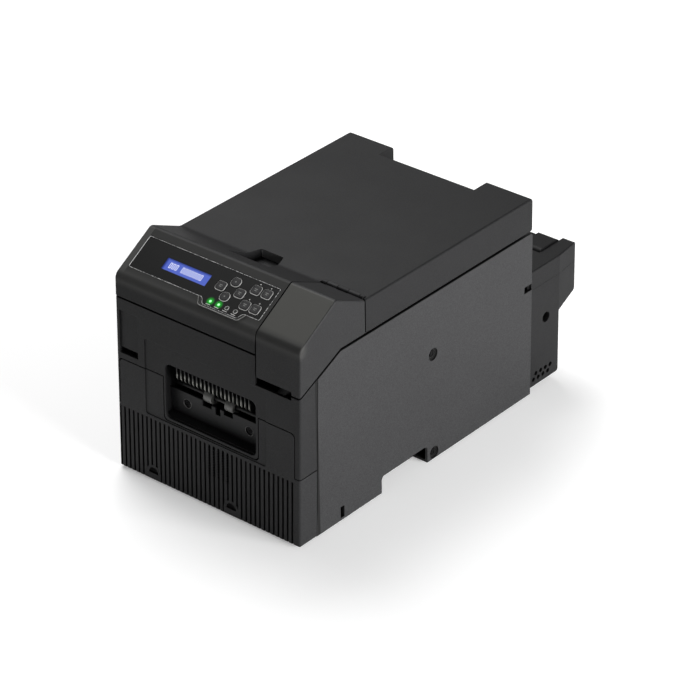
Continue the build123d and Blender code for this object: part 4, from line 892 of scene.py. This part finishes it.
def flat_ring(width, height, corner, line, shift):
    """A flat rounded ring that a shift makes thicker on its right and lower sides."""
    bpy.ops.mesh.primitive_plane_add(size=1, location=(0, 0, -0.0002))
    ring = bpy.context.object
    bpy.ops.transform.resize(value=(width, height, 1))
    bpy.ops.object.transform_apply(location=False)
    bpy.ops.object.mode_set(mode="EDIT")
    bpy.ops.mesh.select_all(action="SELECT")
    bpy.ops.mesh.bevel(offset=corner, segments=6, affect="VERTICES")
    bpy.ops.mesh.select_all(action="SELECT")
    bpy.ops.mesh.inset(thickness=line)
    bpy.ops.transform.translate(value=(-shift, shift, 0))
    bpy.ops.mesh.delete(type="FACE")
    bpy.ops.mesh.select_all(action="SELECT")
    bpy.ops.mesh.extrude_region_move(TRANSFORM_OT_translate={"value": (0, 0, 0.0002)})
    bpy.ops.mesh.select_all(action="SELECT")
    bpy.ops.mesh.normals_make_consistent(inside=False)
    bpy.ops.object.mode_set(mode="OBJECT")
    set_in_place(ring, Matrix.Identity(4))
    return ring


ring = flat_ring(*ring_size, ring_round, ring_line, ring_shift)
oval = flat_ring(*ring_size, oval_round, ring_line, ring_shift)
rings = []
for name, (x, y) in key_spots.items():
    shape = oval if name in ("up", "down") else ring
    rings.append(copy_of(shape, "ring", panel_matrix @ Matrix.Translation((x, y, 0))))
bpy.data.objects.remove(ring)
bpy.data.objects.remove(oval)
rings = join_as("key_outlines", rings, pale_ink)
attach(rings, "lid")
for name, (x, y) in key_spots.items():
    marks = []
    if name in ("up", "down"):
        turn = 0 if name == "up" else math.pi
        bpy.ops.mesh.primitive_circle_add(vertices=3, radius=arrow_radius, fill_type="NGON",
                                          location=(x, y, mark_level), rotation=(0, 0, turn))
        marks.append(bpy.context.object)
    else:
        for lift, width in ((0.0008, 0.0034), (-0.0008, 0.0024)):
            bpy.ops.mesh.primitive_plane_add(size=1, location=(x, y + lift, mark_level))
            bpy.ops.transform.resize(value=(width, mark_line, 1))
            marks.append(bpy.context.object)
    for mark in marks:
        set_in_place(mark, panel_matrix)
    mark = join_as("mark_" + name, marks, dim_ink)
    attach(mark, "key_" + name)

# Status lamps
# Clear acrylic light pipes over small lamps. The first two are lit green, with a bright
# core. Every lamp has a short printed dash below it, and the unlit ones a pale ring. Four
# printed dots stand over keys.
last_lit = 0.0126
core_start = 0.0016
core_full = 0.0007
print_level = -0.00012
dash_size = (0.0052, 0.0006, 1)
dash_row = 0.0079
dash_shift = 0.0004
dot_radius = 0.0006
dot_spots = ((0.0336, 0.0446), (0.0462, 0.0448), (0.0330, 0.0272), (0.0450, 0.0272))
lamp_lens, shader = new_material("clear_acrylic_lamps")
place = add_node(lamp_lens, "ShaderNodeTexCoord").outputs["Object"]
apart = add_node(lamp_lens, "ShaderNodeSeparateXYZ", {}, {"Vector": place})
lit = add_node(lamp_lens, "ShaderNodeMath", {"operation": "LESS_THAN", 1: last_lit},
               {0: apart.outputs["X"]})
tint = add_node(lamp_lens, "ShaderNodeMix",
                {"data_type": "RGBA", 6: to_linear("#3c3f3c"), 7: to_linear("#12a82c")},
                {0: lit.outputs[0]})
far = [add_node(lamp_lens, "ShaderNodeVectorMath", {"operation": "DISTANCE", 1: spot}, {0: place})
       for spot in lit_lamps]
nearest = add_node(lamp_lens, "ShaderNodeMath", {"operation": "MINIMUM"},
                   {0: far[0].outputs["Value"], 1: far[1].outputs["Value"]})
core = add_node(lamp_lens, "ShaderNodeMapRange", {"From Min": core_start, "From Max": core_full},
                {"Value": nearest.outputs[0]})
shine = add_node(lamp_lens, "ShaderNodeMix",
                 {"data_type": "RGBA", 6: to_linear("#0fd436"), 7: to_linear("#d8ffdf")},
                 {0: core.outputs[0]})
links = lamp_lens.node_tree.links
links.new(tint.outputs[2], shader.inputs["Base Color"])
links.new(lit.outputs[0], shader.inputs["Emission Strength"])
links.new(shine.outputs[2], shader.inputs["Emission Color"])
shader.inputs["Roughness"].default_value = 0.15
shader.inputs["IOR"].default_value = 1.49
dress(lamp_lens, "status_lamps")
ring = flat_ring(0.0042, 0.0042, 0.0019, 0.00034, 0.0001)
prints = []
for n, x in enumerate(lamp_columns):
    if n > 1:
        prints.append(copy_of(ring, "ring", panel_matrix @ Matrix.Translation((x, lamp_row, 0))))
    bpy.ops.mesh.primitive_plane_add(size=1, location=(x - dash_shift, dash_row, print_level))
    bpy.ops.transform.resize(value=dash_size)
    set_in_place(bpy.context.object, panel_matrix)
    prints.append(bpy.context.object)
for x, y in dot_spots:
    bpy.ops.mesh.primitive_circle_add(vertices=12, radius=dot_radius, fill_type="NGON",
                                      location=(x, y, print_level))
    set_in_place(bpy.context.object, panel_matrix)
    prints.append(bpy.context.object)
bpy.data.objects.remove(ring)
prints = join_as("panel_prints", prints, pale_ink)
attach(prints, "lid")
